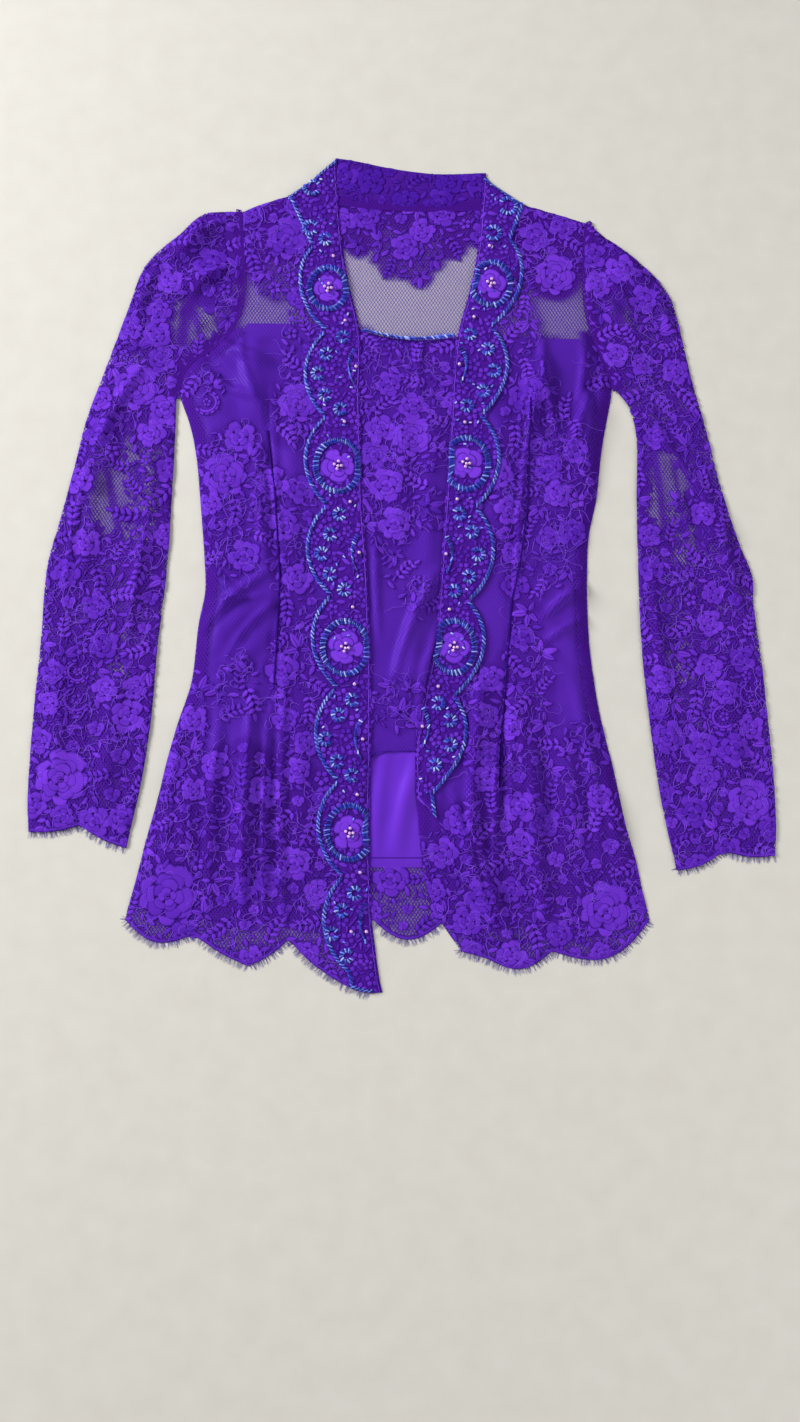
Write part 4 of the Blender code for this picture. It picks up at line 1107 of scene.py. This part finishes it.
def stepped(points, step=3.0):
    """Points every few mm along a line."""
    line = [points[0]]
    for (x0, y0), (x1, y1) in zip(points, points[1:]):
        count = max(1, round(hypot(x1 - x0, y1 - y0) / step))
        line += [(x0 + (x1 - x0) * k / count, y0 + (y1 - y0) * k / count) for k in range(1, count + 1)]
    return line


stitch_and_shade_thread = dyed("stitch_and_shade_thread", 200.0, 900.0, seen(26, 0, 84), seen(50, 12, 122),
                   Roughness=0.8, Specular_IOR_Level=0.05)[0]
DARTS_LEFT = [(-132, 129), (-123, 62), (-118, -16), (-120, -77), (-122, -120)]
DARTS_RIGHT = [(124, 162), (121, 61), (113, 1), (104, -38), (96, -132), (92, -179), (91, -220)]
for name, dart in (("front_left", DARTS_LEFT), ("front_right", DARTS_RIGHT)):
    # the thick dark thread on each dart is partly its seam and partly painted shade in its valley
    lines_on(name + "_dart", name, [stepped(dart)], 1.1, 0.5, stitch_and_shade_thread)
LINING_HEM = 9.0             # from the lining's edge up to its stitches, in mm
hem_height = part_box("back_lining")[0].y / MM + LINING_HEM
stitched = [(x, hem_height) for x in range(-70, 71, 5)]
lines_on("back_lining_stitches", "back_lining", [stitched], 0.4, 0.2, stitch_and_shade_thread, "satin")
low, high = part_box("kutubaru")
turned_edge = [(x, low.y / MM + 1.6) for x in range(round(low.x / MM) + 2, round(high.x / MM) - 1, 3)]
lines_on("kutubaru_hem", "kutubaru", [turned_edge], 1.1, 0.3, cord_thread)


# Sleeves: each one piece of lace sewn into a tube, laid flat, with its head gathered into the
# armhole and its cuff on the lace's scalloped edge. They have no lining, so the floor shows through.
SLEEVE_CREASES = table(
    "x0 y0 x1 y1 half bow rise",
    (-172, 350, -216, 316, 6, 3, 2.4), (-170, 300, -212, 262, 6, 3, 2.0), (-240, 300, -262, 240, 7, 3, 2.0),
    (-246, 205, -300, 100, 7, 6, 2.2), (-300, 110, -322, -40, 6, 5, 2.0), (-240, 60, -262, -90, 6, 4, 1.8),
    (202, 340, 236, 300, 6, 3, 2.4), (200, 296, 234, 250, 6, 3, 2.0), (250, 290, 270, 220, 7, 3, 2.0),
    (236, 160, 300, 60, 7, 6, 2.2), (306, 60, 330, -60, 6, 5, 2.0), (240, 10, 250, -130, 6, 4, 1.8),
)
SLEEVE_LEFT_CLUSTERS = table(
    "x y rx ry level flowers ground",
    (-270, 60, 130, 330, 0.75, 0.4, 0.45), (-270, -210, 130, 140, 1.0, 0.8, 0.5),
    (-190, 325, 44, 54, 0.95, 0.6, 0.7), (-206, 240, 32, 26, 0.0, 0.0, 0.0),
    (-258, 72, 30, 56, 0.25, 0.0, 0.2), (-286, 60, 18, 36, 0.0, 0.0, 0.0),
    (-268, -106, 13, 40, 0.4, 0.0, 0.12),
)
# Where a fold inside the tube doubles the net
DOUBLED_LEFT = table(
    "x0 y0 x1 y1 half dark",
    (-168, 350, -214, 250, 10, 0.7), (-214, 250, -222, 190, 8, 0.6), (-216, 165, -233, 0, 9, 0.75),
    (-233, 0, -253, -190, 8, 0.7), (-312, 110, -330, -60, 9, 0.65), (-240, 225, -262, 120, 7, 0.5),
    (-210, 264, -196, 214, 5, 0.5), (-288, 96, -272, 20, 5, 0.55), (-262, 90, -256, 30, 4, 0.4),
)
SLEEVE_LEFT_MOTIFS = table(
    "x y turn size kind",
    (-190, 300, 0, 1.2, "small_rose"), (-192, 272, 0, 1.2, "rosette"), (-178, 340, 20, 0.9, "leaves"),
    (-261, 171, 0, 1.0, "rose"), (-259, 212, 70, 1.0, "leaves"), (-294, 126, 0, 1.1, "small_rose"),
    (-241, -37, 0, 1.3, "rosette"), (-246, -66, 0, 1.1, "rosette"), (-305, -85, 0, 1.1, "bloom"),
    (-319, -41, 0, 1.2, "rosette"), (-308, -108, 90, 1.0, "scroll"), (-308, -134, 100, 1.3, "scroll"),
    (-318, -162, 20, 0.9, "leaves"), (-289, -162, 0, 1.4, "rosette"), (-265, -188, 0, 1.5, "rosette"),
    (-320, -210, 0, 1.1, "rose"), (-272, -224, 0, 1.3, "rosette"),
)
SLEEVE_RIGHT_CLUSTERS = table(
    "x y rx ry level flowers ground",
    (270, 60, 130, 330, 0.75, 0.4, 0.45), (270, -210, 130, 140, 1.0, 0.8, 0.5),
    (212, 315, 44, 60, 0.95, 0.5, 0.7), (214, 255, 16, 26, 0.0, 0.0, 0.0), (254, 74, 25, 44, 0.0, 0.0, 0.0),
    (270, 26, 18, 36, 0.2, 0.0, 0.1), (264, -104, 14, 46, 0.4, 0.0, 0.12),
)
DOUBLED_RIGHT = table(
    "x0 y0 x1 y1 half dark",
    (196, 350, 214, 260, 10, 0.7), (214, 260, 212, 180, 9, 0.7), (217, 165, 236, 0, 9, 0.75),
    (236, 0, 250, -190, 8, 0.7), (294, 265, 322, 140, 9, 0.65), (322, 140, 334, -10, 9, 0.6),
    (252, 220, 280, 120, 7, 0.5), (244, 120, 258, 0, 5, 0.55), (262, 110, 274, 20, 4, 0.45),
    (212, 280, 220, 232, 5, 0.5),
)
SLEEVE_RIGHT_MOTIFS = table(
    "x y turn size kind",
    (290, 142, 60, 1.0, "leaves"), (286, 94, -60, 1.0, "leaves"), (275, -10, 0, 1.0, "bloom"),
    (276, -37, 0, 1.0, "bloom"), (282, -180, 0, 1.2, "small_rose"), (262, -208, 0, 1.0, "rosette"),
    (272, -240, 0, 1.1, "small_rose"), (304, -150, 80, 1.2, "scroll"), (326, -232, 0, 0.95, "rose"),
    (238, 265, 0, 1.0, "small_rose"), (252, 232, 40, 1.0, "leaves"), (252, 162, -50, 1.0, "spray"),
    (306, 2, 0, 1.0, "rosette"), (319, -37, 0, 1.2, "rosette"), (308, -76, 0, 1.0, "bloom"),
    (330, -128, 90, 1.1, "scroll"), (252, -45, 0, 1.1, "rosette"), (246, -115, 0, 1.0, "small_rose"),
)
SLEEVE_MID = 1.5             # height of the folded edges, where the two walls meet
UNDER_WALL = 0.5             # height of the wall that lies on the floor
SEAM_ACROSS = (-3.0, 0.0, 3.5, 7.0)      # the armhole's strip, in mm from the sleeve's edge inwards


def strip(name, line, into, across, sheets, lowest, lift=0.4):
    """A strip of doubled net along a line, laid over the sheets on both sides of it."""
    bm = bmesh.new()
    rows = []
    for i, (x, y) in enumerate(line):
        (x0, y0), (x1, y1) = line[max(i - 1, 0)], line[min(i + 1, len(line) - 1)]
        length = hypot(x1 - x0, y1 - y0)
        nx, ny = (y0 - y1) / length, (x1 - x0) / length
        if not covers(into, (x + nx * 3 * MM) / MM, (y + ny * 3 * MM) / MM):
            nx, ny = -nx, -ny
        places = [(x + nx * d * MM, y + ny * d * MM) for d in across]
        rows.append([(px, py, max(height_at(sheets, px, py), lowest * MM) + lift * MM) for px, py in places])
    made = [[bm.verts.new(place) for place in row] for row in rows]
    for one, other in zip(made, made[1:]):
        for j in range(len(across) - 1):
            bm.faces.new([one[j], one[j + 1], other[j + 1], other[j]])
    piece = show(name, bm, net_cloth)
    marks = [1.0] * len(piece.data.vertices)
    piece.data.attributes.new("worked", "FLOAT", "POINT").data.foreach_set("value", marks)
    return piece


for side, fringe, clusters, fixed, doubled, seed in (
    ("left", "fringe_cuff_left", SLEEVE_LEFT_CLUSTERS, SLEEVE_LEFT_MOTIFS, DOUBLED_LEFT, 31),
    ("right", "fringe_cuff_right", SLEEVE_RIGHT_CLUSTERS, SLEEVE_RIGHT_MOTIFS, DOUBLED_RIGHT, 32),
):
    name = "sleeve_" + side
    body = ("back", "front_" + side)
    bm = sheet_net(name, 3.5, lowest=1.6 * MM)
    lay(name, bm, (), SLEEVE_CREASES, rumple=0.8, seed=seed, press=8.0, clear=SLEEVE_MID)
    at_cuff, at_armhole = near_node(fringe), near_sheets(body)
    cuff_line, armhole_line = rim_line(bm, at_cuff), rim_line(bm, at_armhole)
    folded = {v: not at_cuff(*v.co.xy) and not at_armhole(*v.co.xy) for v in bm.verts if v.is_boundary}
    lower = bmesh.ops.duplicate(bm, geom=list(bm.faces))
    above_of = lower["vert_map"]
    pairs = {}
    for vert in [g for g in lower["geom"] if isinstance(g, bmesh.types.BMVert)]:
        source = above_of[vert]
        if folded.get(source):
            pairs[vert] = source
        else:
            vert.co.z = UNDER_WALL * MM
    bmesh.ops.reverse_faces(bm, faces=[g for g in lower["geom"] if isinstance(g, bmesh.types.BMFace)])
    bmesh.ops.weld_verts(bm, targetmap=pairs)
    pieces[name] = show(name + "_net", bm, net_cloth)
    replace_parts(pieces[name], name)
    under_name = name + "_under"
    flat_bm = sheet_net(name, 8.0, lowest=1.6 * MM)
    for v in flat_bm.verts:
        v.co.z = UNDER_WALL * MM
    laid[under_name] = BVHTree.FromBMesh(flat_bm)
    under_mesh = bpy.data.meshes.new(under_name)
    flat_bm.to_mesh(under_mesh)
    flat_bm.free()
    pieces[under_name] = bpy.data.objects.new(under_name, under_mesh)
    scene.collection.objects.link(pieces[under_name])
    rows = worked_rows(name, (), clusters, seed + 50, FILLING)
    sewn = [
        motifs_on(name + "_motifs", name, fixed, clusters, seed, sheer=0.16, doubled=doubled),
        cords_on(name + "_cords", name, clusters, 320, seed),
        grown(name + "_under_motifs", chart_mesh(under_name, rows), sewn_motifs, "lace",
              Cloth=pieces[under_name], Shapes=motif_box, Lift=0.1 * MM, Material=lace_thread),
        hem_edging(name, cuff_line),
        lashes_along(fringe, name, cuff_line, seed),
        strip(name + "_seam", armhole_line, name, SEAM_ACROSS, (name,) + body, 1.6),
    ]
    bpy.data.objects.remove(pieces.pop(under_name))


# Collar and bands: dense lace over a backing, worked with bugle beads in medallions, small rings
# and one row along the scallops. Pearls sit in the flowers and between the medallions.
band_cloth, tree, shader, patches = dyed(
    "band_cloth", 160.0, 900.0, seen(34, 2, 98), seen(82, 24, 160), Roughness=0.85, Specular_IOR_Level=0.08)
roughen(tree, shader, calc(tree, "ADD", patches["Patches"], patches["Grains"]), 0.6, 0.0006)

COLLAR_SPREAD = 1.08         # takes its ends under the bands
bm = sheet_net("collar", 3.0, spread=COLLAR_SPREAD)
lay("collar", bm, ("back",), rumple=0.3, press=4.0, clear=0.6)
neck_line = rim_line(bm, near_sheets(("back",), 4.0))
pieces["collar"] = show("collar_lace", bm, band_cloth)
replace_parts(pieces["collar"], "collar")
COLLAR_CLUSTERS = table("x y rx ry level flowers ground", (10, 400, 90, 40, 0.9, 0.8, 1.0))
collar_motifs = motifs_on("collar_motifs", "collar", (), COLLAR_CLUSTERS, 41, "beaded_band",
                          shades=(-0.1, 0.25))
NECK_SEAM_ACROSS = (-4.0, -1.0, 2.0, 6.0)
neck_seam = strip("neck_seam", neck_line, "collar", NECK_SEAM_ACROSS, ("back", "collar"), 1.2)

BUGLES = table("length thick", (5.8, 1.5), (4.1, 1.45), (2.7, 1.4))
LONG, MIDDLE, SHORT = range(3)
PEARL_RADIUS = 1.9
bugle_box = bpy.data.collections.new("bugles")
for k, bugle in enumerate(BUGLES):
    bm = bmesh.new()
    radius = bugle["thick"] / 2 * MM
    bmesh.ops.create_cone(bm, cap_ends=True, segments=7, radius1=radius, radius2=radius,
                          depth=bugle["length"] * MM, matrix=Matrix.Rotation(pi / 2, 4, "Y"))
    ends = [e for e in bm.edges if abs(e.verts[0].co.x - e.verts[1].co.x) < 1e-6]
    bmesh.ops.bevel(bm, geom=ends, offset=0.18 * MM, segments=1, affect="EDGES")
    boxed(bugle_box, f"bugle_{k}", bm)
pearl_box = bpy.data.collections.new("pearls")
bm = bmesh.new()
bmesh.ops.create_uvsphere(bm, u_segments=12, v_segments=8, radius=PEARL_RADIUS * MM)
boxed(pearl_box, "pearl", bm)

bugle_glass, tree, shader = finish(
    "bugle_glass", Roughness=0.3, Specular_IOR_Level=0.4, Coat_Weight=0.12, Coat_Roughness=0.05)
# The beads' shade runs from navy through mid blue, their own colours; its palest end, near white, is a
# painted glint of light on the glass.
ramp = add(tree, "ShaderNodeValToRGB", mark(tree, "shade"))
ramp.color_ramp.elements[0].color = seen(14, 10, 100)
ramp.color_ramp.elements[1].color = seen(196, 208, 255)
for position, colour in ((0.35, seen(20, 32, 150)), (0.62, seen(40, 62, 196)), (0.82, seen(106, 134, 236))):
    ramp.color_ramp.elements.new(position).color = colour
tree.links.new(ramp.outputs["Color"], shader.inputs["Base Color"])
roughen(tree, shader, use(tree, mottled, Patch=500.0, Grain=2000.0)["Grains"], 0.1, 0.0002)
pearl_skin = dyed("pearl_skin", 700.0, 2000.0, seen(188, 138, 208), seen(226, 186, 232),
                  Roughness=0.22, Coat_Weight=0.7, Coat_Roughness=0.08)[0]
sewn_beads = placing_tree("sewn_beads", drawn_in=False)

BAND_LEFT = {
    "medallions": table(
        "x y rx ry",
        (-74, 275, 18.5, 21.5), (-63, 93, 21.5, 25.5), (-55, -85, 21.5, 25.5), (-50, -259, 21.0, 25.0),
    ),
    "rings": table(
        "x y size",
        (-91, 381, 1.5), (-92, 338, 1.3), (-77, 326, 1.0), (-59, 224, 1.0), (-75, 206, 1.0),
        (-83, 186, 1.05), (-76, 164, 1.0), (-61, 150, 1.0), (-61, 45, 1.0), (-70, 25, 1.0), (-78, 6, 1.05),
        (-70, -14, 1.0), (-56, -29, 1.0), (-48, -135, 1.0), (-61, -149, 1.0), (-73, -172, 1.05),
        (-62, -193, 1.0), (-48, -206, 1.0), (-45, -315, 1.0), (-57, -331, 1.0), (-66, -352, 1.0),
        (-52, -372, 1.0),
    ),
    "brackets": table("x y", (-51, 193), (-47, 7), (-43, -172), (-38, -342)),
    "pearls": table(
        "x y",
        (-69, 308), (-57, 241), (-57, 137), (-51, 57), (-48, -46), (-46, -120), (-43, -224), (-40, -296),
        (-46, 193), (-42, 7), (-38, -172), (-34, -350), (-48, -350),
    ),
    "inner": 1,
}
BAND_RIGHT = {
    "medallions": table(
        "x y rx ry",
        (87, 281, 19.5, 22.5), (61, 96, 21.5, 25.5), (48, -84, 20.0, 25.0),
    ),
    "rings": table(
        "x y size",
        (105, 363, 1.6), (90, 334, 1.3), (66, 228, 1.0), (83, 212, 1.0), (89, 190, 1.05), (78, 169, 1.0),
        (62, 154, 1.0), (54, 46, 1.0), (66, 28, 1.0), (72, 6, 1.05), (63, -16, 1.0), (49, -30, 1.0),
        (33, -138, 1.0), (44, -154, 1.0), (44, -177, 1.0), (30, -196, 0.9),
    ),
    "brackets": table("x y", (60, 196), (45, 6), (22, -160)),
    "pearls": table(
        "x y",
        (86, 320), (70, 246), (60, 137), (52, 60), (44, -48), (33, -122), (55, 196), (41, 6), (18, -160),
    ),
    "inner": -1,
}


def bead_row(x, y, turn, kind, draw, painted_glint_share=0.13):
    """One bead's row of the chart. The last value is the share of beads whose colour is painted pale, as a
    glint.
    """
    shade = draw.uniform(0.74, 1.0) if draw.random() < painted_glint_share else draw.uniform(0.12, 0.66)
    return {"x": x, "y": y, "turn": turn + draw.gauss(0, 4), "size": draw.uniform(0.93, 1.07), "kind": kind,
            "shade": shade}


def drawn_inside(cloth, cx, cy, x, y, margin):
    """The place moved towards a middle until it lies on the cloth with a margin round it."""
    for step in range(20):
        t = 1 - 0.05 * step
        px, py = cx + (x - cx) * t, cy + (y - cy) * t
        reach = t * hypot(x - cx, y - cy) or 1.0
        ox, oy = (px - cx) / reach * margin, (py - cy) / reach * margin
        if covers(cloth, px + ox, py + oy):
            return px, py
    return cx, cy


BEAD_PAIR = 4.1              # the room that a dark bead and one painted light as a glint take round a medallion, in mm
RING_RADIUS, RING_BEADS = 5.0, 17            # of a ring of size 1
RING_START, RING_TURN = 34, 292              # where a ring's beads begin and how far they run, in degrees
BRACKET_HALF, BRACKET_BEADS = 17, 15


def medallion_beads(cloth, band, draw):
    """Radial bugles round each medallion, close together."""
    rows = []
    for m in band["medallions"]:
        count = 2 * round(pi * (m["rx"] + m["ry"]) / BEAD_PAIR)
        for k in range(count):
            angle = 2 * pi * k / count
            x, y = m["x"] + m["rx"] * cos(angle), m["y"] + m["ry"] * sin(angle)
            x, y = drawn_inside(cloth, m["x"], m["y"], x, y, 3.6)
            row = bead_row(x, y, np.degrees(angle) + 14, LONG, draw)
            # every other bead is painted light, as a glint, and the others are darkened
            row["shade"] = row["shade"] * 0.45 if k % 2 else draw.uniform(0.42, 0.9)
            rows.append(row)
    return rows


def ring_beads(band, draw):
    """Small rings of short radial bugles, each open towards the band's inner edge."""
    rows = []
    for r in band["rings"]:
        opening = 0.0 if band["inner"] > 0 else 180.0
        count = round(RING_BEADS * r["size"])
        for k in range(count):
            angle = opening + RING_START + RING_TURN * k / (count - 1) + draw.uniform(-3, 3)
            reach = RING_RADIUS * r["size"]
            rows.append(bead_row(r["x"] + reach * cos(radians(angle)), r["y"] + reach * sin(radians(angle)),
                                 angle + 12, MIDDLE, draw, 0.16))
            # every other bead is painted light, as a glint, and the others are darkened
            rows[-1]["shade"] = rows[-1]["shade"] * 0.6 if k % 2 else draw.uniform(0.55, 0.95)
    return rows


def bracket_beads(band, draw):
    """A curved row of slanted bugles beside each inner pearl."""
    rows = []
    for b in band["brackets"]:
        for k in range(BRACKET_BEADS):
            t = k / (BRACKET_BEADS - 1) * 2 - 1
            x = b["x"] - band["inner"] * (5.0 * (1 - t * t) - 3.0)
            heading = 90 + band["inner"] * (28 * t + 34)
            rows.append(bead_row(x, b["y"] + BRACKET_HALF * t, heading, MIDDLE, draw, 0.2))
    return rows


EDGE_STEP = 2.1              # from one slanted bead to the next along the scallops, in mm
EDGE_INSET = 2.2
EDGE_BEAD = 0.86             # the size of its beads, of the long kind


def scallop_beads(line, cloth, draw):
    """One close row of beads along the scalloped edge, all slanted like a twisted rope."""
    rows, owed = [], 0.0
    for (x0, y0), (x1, y1) in zip(line, line[1:]):
        length = hypot(x1 - x0, y1 - y0)
        ux, uy = (x1 - x0) / length, (y1 - y0) / length
        nx, ny = uy, -ux
        if not covers(cloth, x0 / MM + nx * 3, y0 / MM + ny * 3):
            nx, ny = -nx, -ny
        heading = np.degrees(np.arctan2(uy, ux))
        while owed < length / MM:
            x, y = x0 / MM + ux * owed + nx * EDGE_INSET, y0 / MM + uy * owed + ny * EDGE_INSET
            row = dict(bead_row(x, y, heading + 38, LONG, draw, 0.12), size=EDGE_BEAD)
            # every other bead is painted light, as a glint, and the others are darkened
            row["shade"] = row["shade"] * 0.4 if len(rows) % 2 else draw.uniform(0.55, 0.9)
            rows.append(row)
            owed += EDGE_STEP
        owed -= length / MM
    return rows


SINGLE_BEADS = 54            # sewn between the worked figures of each band
SINGLE_ROOM = 4.6            # kept free round each, in mm


def scattered_beads(cloth, taken, draw):
    """Single bugles and seed beads sewn at all angles between the worked figures."""
    low, high = (np.array(corner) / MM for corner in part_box(cloth))
    held = [(r["x"], r["y"]) for r in taken]
    rows = []
    for _ in range(60 * SINGLE_BEADS):
        if len(rows) == SINGLE_BEADS:
            break
        x, y = draw.uniform(low[0], high[0]), draw.uniform(low[1], high[1])
        if not all(covers(cloth, x + dx, y + dy) for dx, dy in ((4, 0), (-4, 0), (0, 4), (0, -4))):
            continue
        if min(hypot(x - a, y - b) for a, b in held) < SINGLE_ROOM:
            continue
        held.append((x, y))
        # most of these single beads are painted pale, as glints
        rows.append(bead_row(x, y, draw.uniform(0, 360), SHORT, draw, 0.6))
    return rows


def band_sides(bm, inner):
    """A band's outer and inner edges, each from its neck end down, as x and y in metres."""
    loop = outline(bm)
    top = loop.index(max(loop, key=lambda v: v.co.y))
    loop = loop[top:] + loop[:top + 1]
    foot = loop.index(min(loop, key=lambda v: v.co.y))
    sides = [[tuple(v.co.xy) for v in side] for side in (loop[:foot + 1], loop[:foot - 1:-1])]
    sides.sort(key=lambda side: inner * sum(x for x, y in side) / len(side))
    return sides


INNER_STITCHES = 2.4         # the line of stitches beside a band's inner edge, in mm
RING_TO_FLOWER = 16.2        # half a medallion's width in mm that takes a flower of size 1
PEARLS_IN_FLOWER = table("reach angle", (3.9, 1.4), (3.5, 2.9), (3.9, 4.5), (3.4, 6.1), (0.9, 5.0))
for name, below, band, seed in (
    ("band_left", ("back", "back_lining", "front_left", "kutubaru", "collar"), BAND_LEFT, 51),
    ("band_right", ("back", "back_lining", "front_right", "kutubaru", "collar"), BAND_RIGHT, 52),
):
    bm = sheet_net(name, 3.0)
    lay(name, bm, below, FRONT_CREASES, rumple=0.3, seed=seed, press=5.0)
    scallops, straight = band_sides(bm, band["inner"])
    pieces[name] = show(name + "_lace", bm, band_cloth)
    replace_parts(pieces[name], name)
    draw = random.Random(seed)
    fixed = [{"x": m["x"], "y": m["y"], "turn": draw.uniform(0, 360), "size": m["rx"] / RING_TO_FLOWER,
              "kind": "ruffle", "shade": 1.0} for m in band["medallions"]]
    everywhere = table("x y rx ry level flowers ground", (0, 0, 900, 900, 0.9, 0.0, 1.0))
    motifs = motifs_on(name + "_motifs", name, fixed, everywhere, seed, "beaded_band",
                       kinds=("bloom", "leaf", "dot"))
    beads = medallion_beads(name, band, draw) + ring_beads(band, draw) + bracket_beads(band, draw)
    beads = [b for b in beads + scallop_beads(scallops, name, draw) if covers(name, b["x"], b["y"])]
    beads += scattered_beads(name, beads + fixed, draw)
    stitches = [(x / MM - band["inner"] * INNER_STITCHES, y / MM) for x, y in straight]
    stitch_line = lines_on(name + "_stitches", name, [stitches], 0.3, 0.35, cord_thread, "beaded_band")
    bugles = grown(name + "_bugles", chart_mesh(name + "_bugles", beads), sewn_beads, "beads",
                   Cloth=pieces[name], Shapes=bugle_box, Lift=0.85 * MM, Material=bugle_glass)
    pearls = [dict(p, size=0.85) for p in band["pearls"]]
    for m in band["medallions"]:
        for p in PEARLS_IN_FLOWER:
            x, y = m["x"] + p["reach"] * cos(p["angle"]), m["y"] + p["reach"] * sin(p["angle"])
            pearls.append({"x": x, "y": y, "z": 0.9, "size": 0.8})
    pearl_piece = grown(name + "_pearls", chart_mesh(name + "_pearls", pearls), sewn_beads, "beads",
                        Cloth=pieces[name], Shapes=pearl_box, Lift=1.7 * MM, Material=pearl_skin)


# Rope: two strings of bugles twisted together and sewn along the kutubaru's top edge
TWIST_STEP, TWIST_LEAN, TWIST_LIFT = 1.6, -48, 0.7       # in mm, degrees and mm
low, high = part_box("kutubaru_rope")
rope_rows, steps = [], round((high.x - low.x) / MM / TWIST_STEP)
rope_solid = frame["nodes"]["kutubaru_rope"].data
middle_line = sorted({(round(v.co.x, 5), round(v.co.y, 5)) for v in rope_solid.vertices})
rope_draw = random.Random(61)
for k in range(steps + 1):
    x = low.x + (high.x - low.x) * k / steps
    near_x = sorted(middle_line, key=lambda p: abs(p[0] - x))[:8]
    y = sum(p[1] for p in near_x) / 8
    # about a quarter of the rope's beads are painted pale, as glints
    row = bead_row(x / MM, y / MM, TWIST_LEAN, MIDDLE, rope_draw, 0.25)
    row["z"] = (low.z + high.z) / 2 / MM + TWIST_LIFT
    rope_rows.append(row)
rope = grown("kutubaru_rope_bugles", chart_mesh("rope_chart", rope_rows), free_placing, "beads",
             Shapes=bugle_box, Material=bugle_glass)
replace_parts(rope, "kutubaru_rope")

for box in (motif_box, lash_box, bugle_box, pearl_box):
    for obj in list(box.objects):
        bpy.data.objects.remove(obj)
    bpy.data.collections.remove(box)
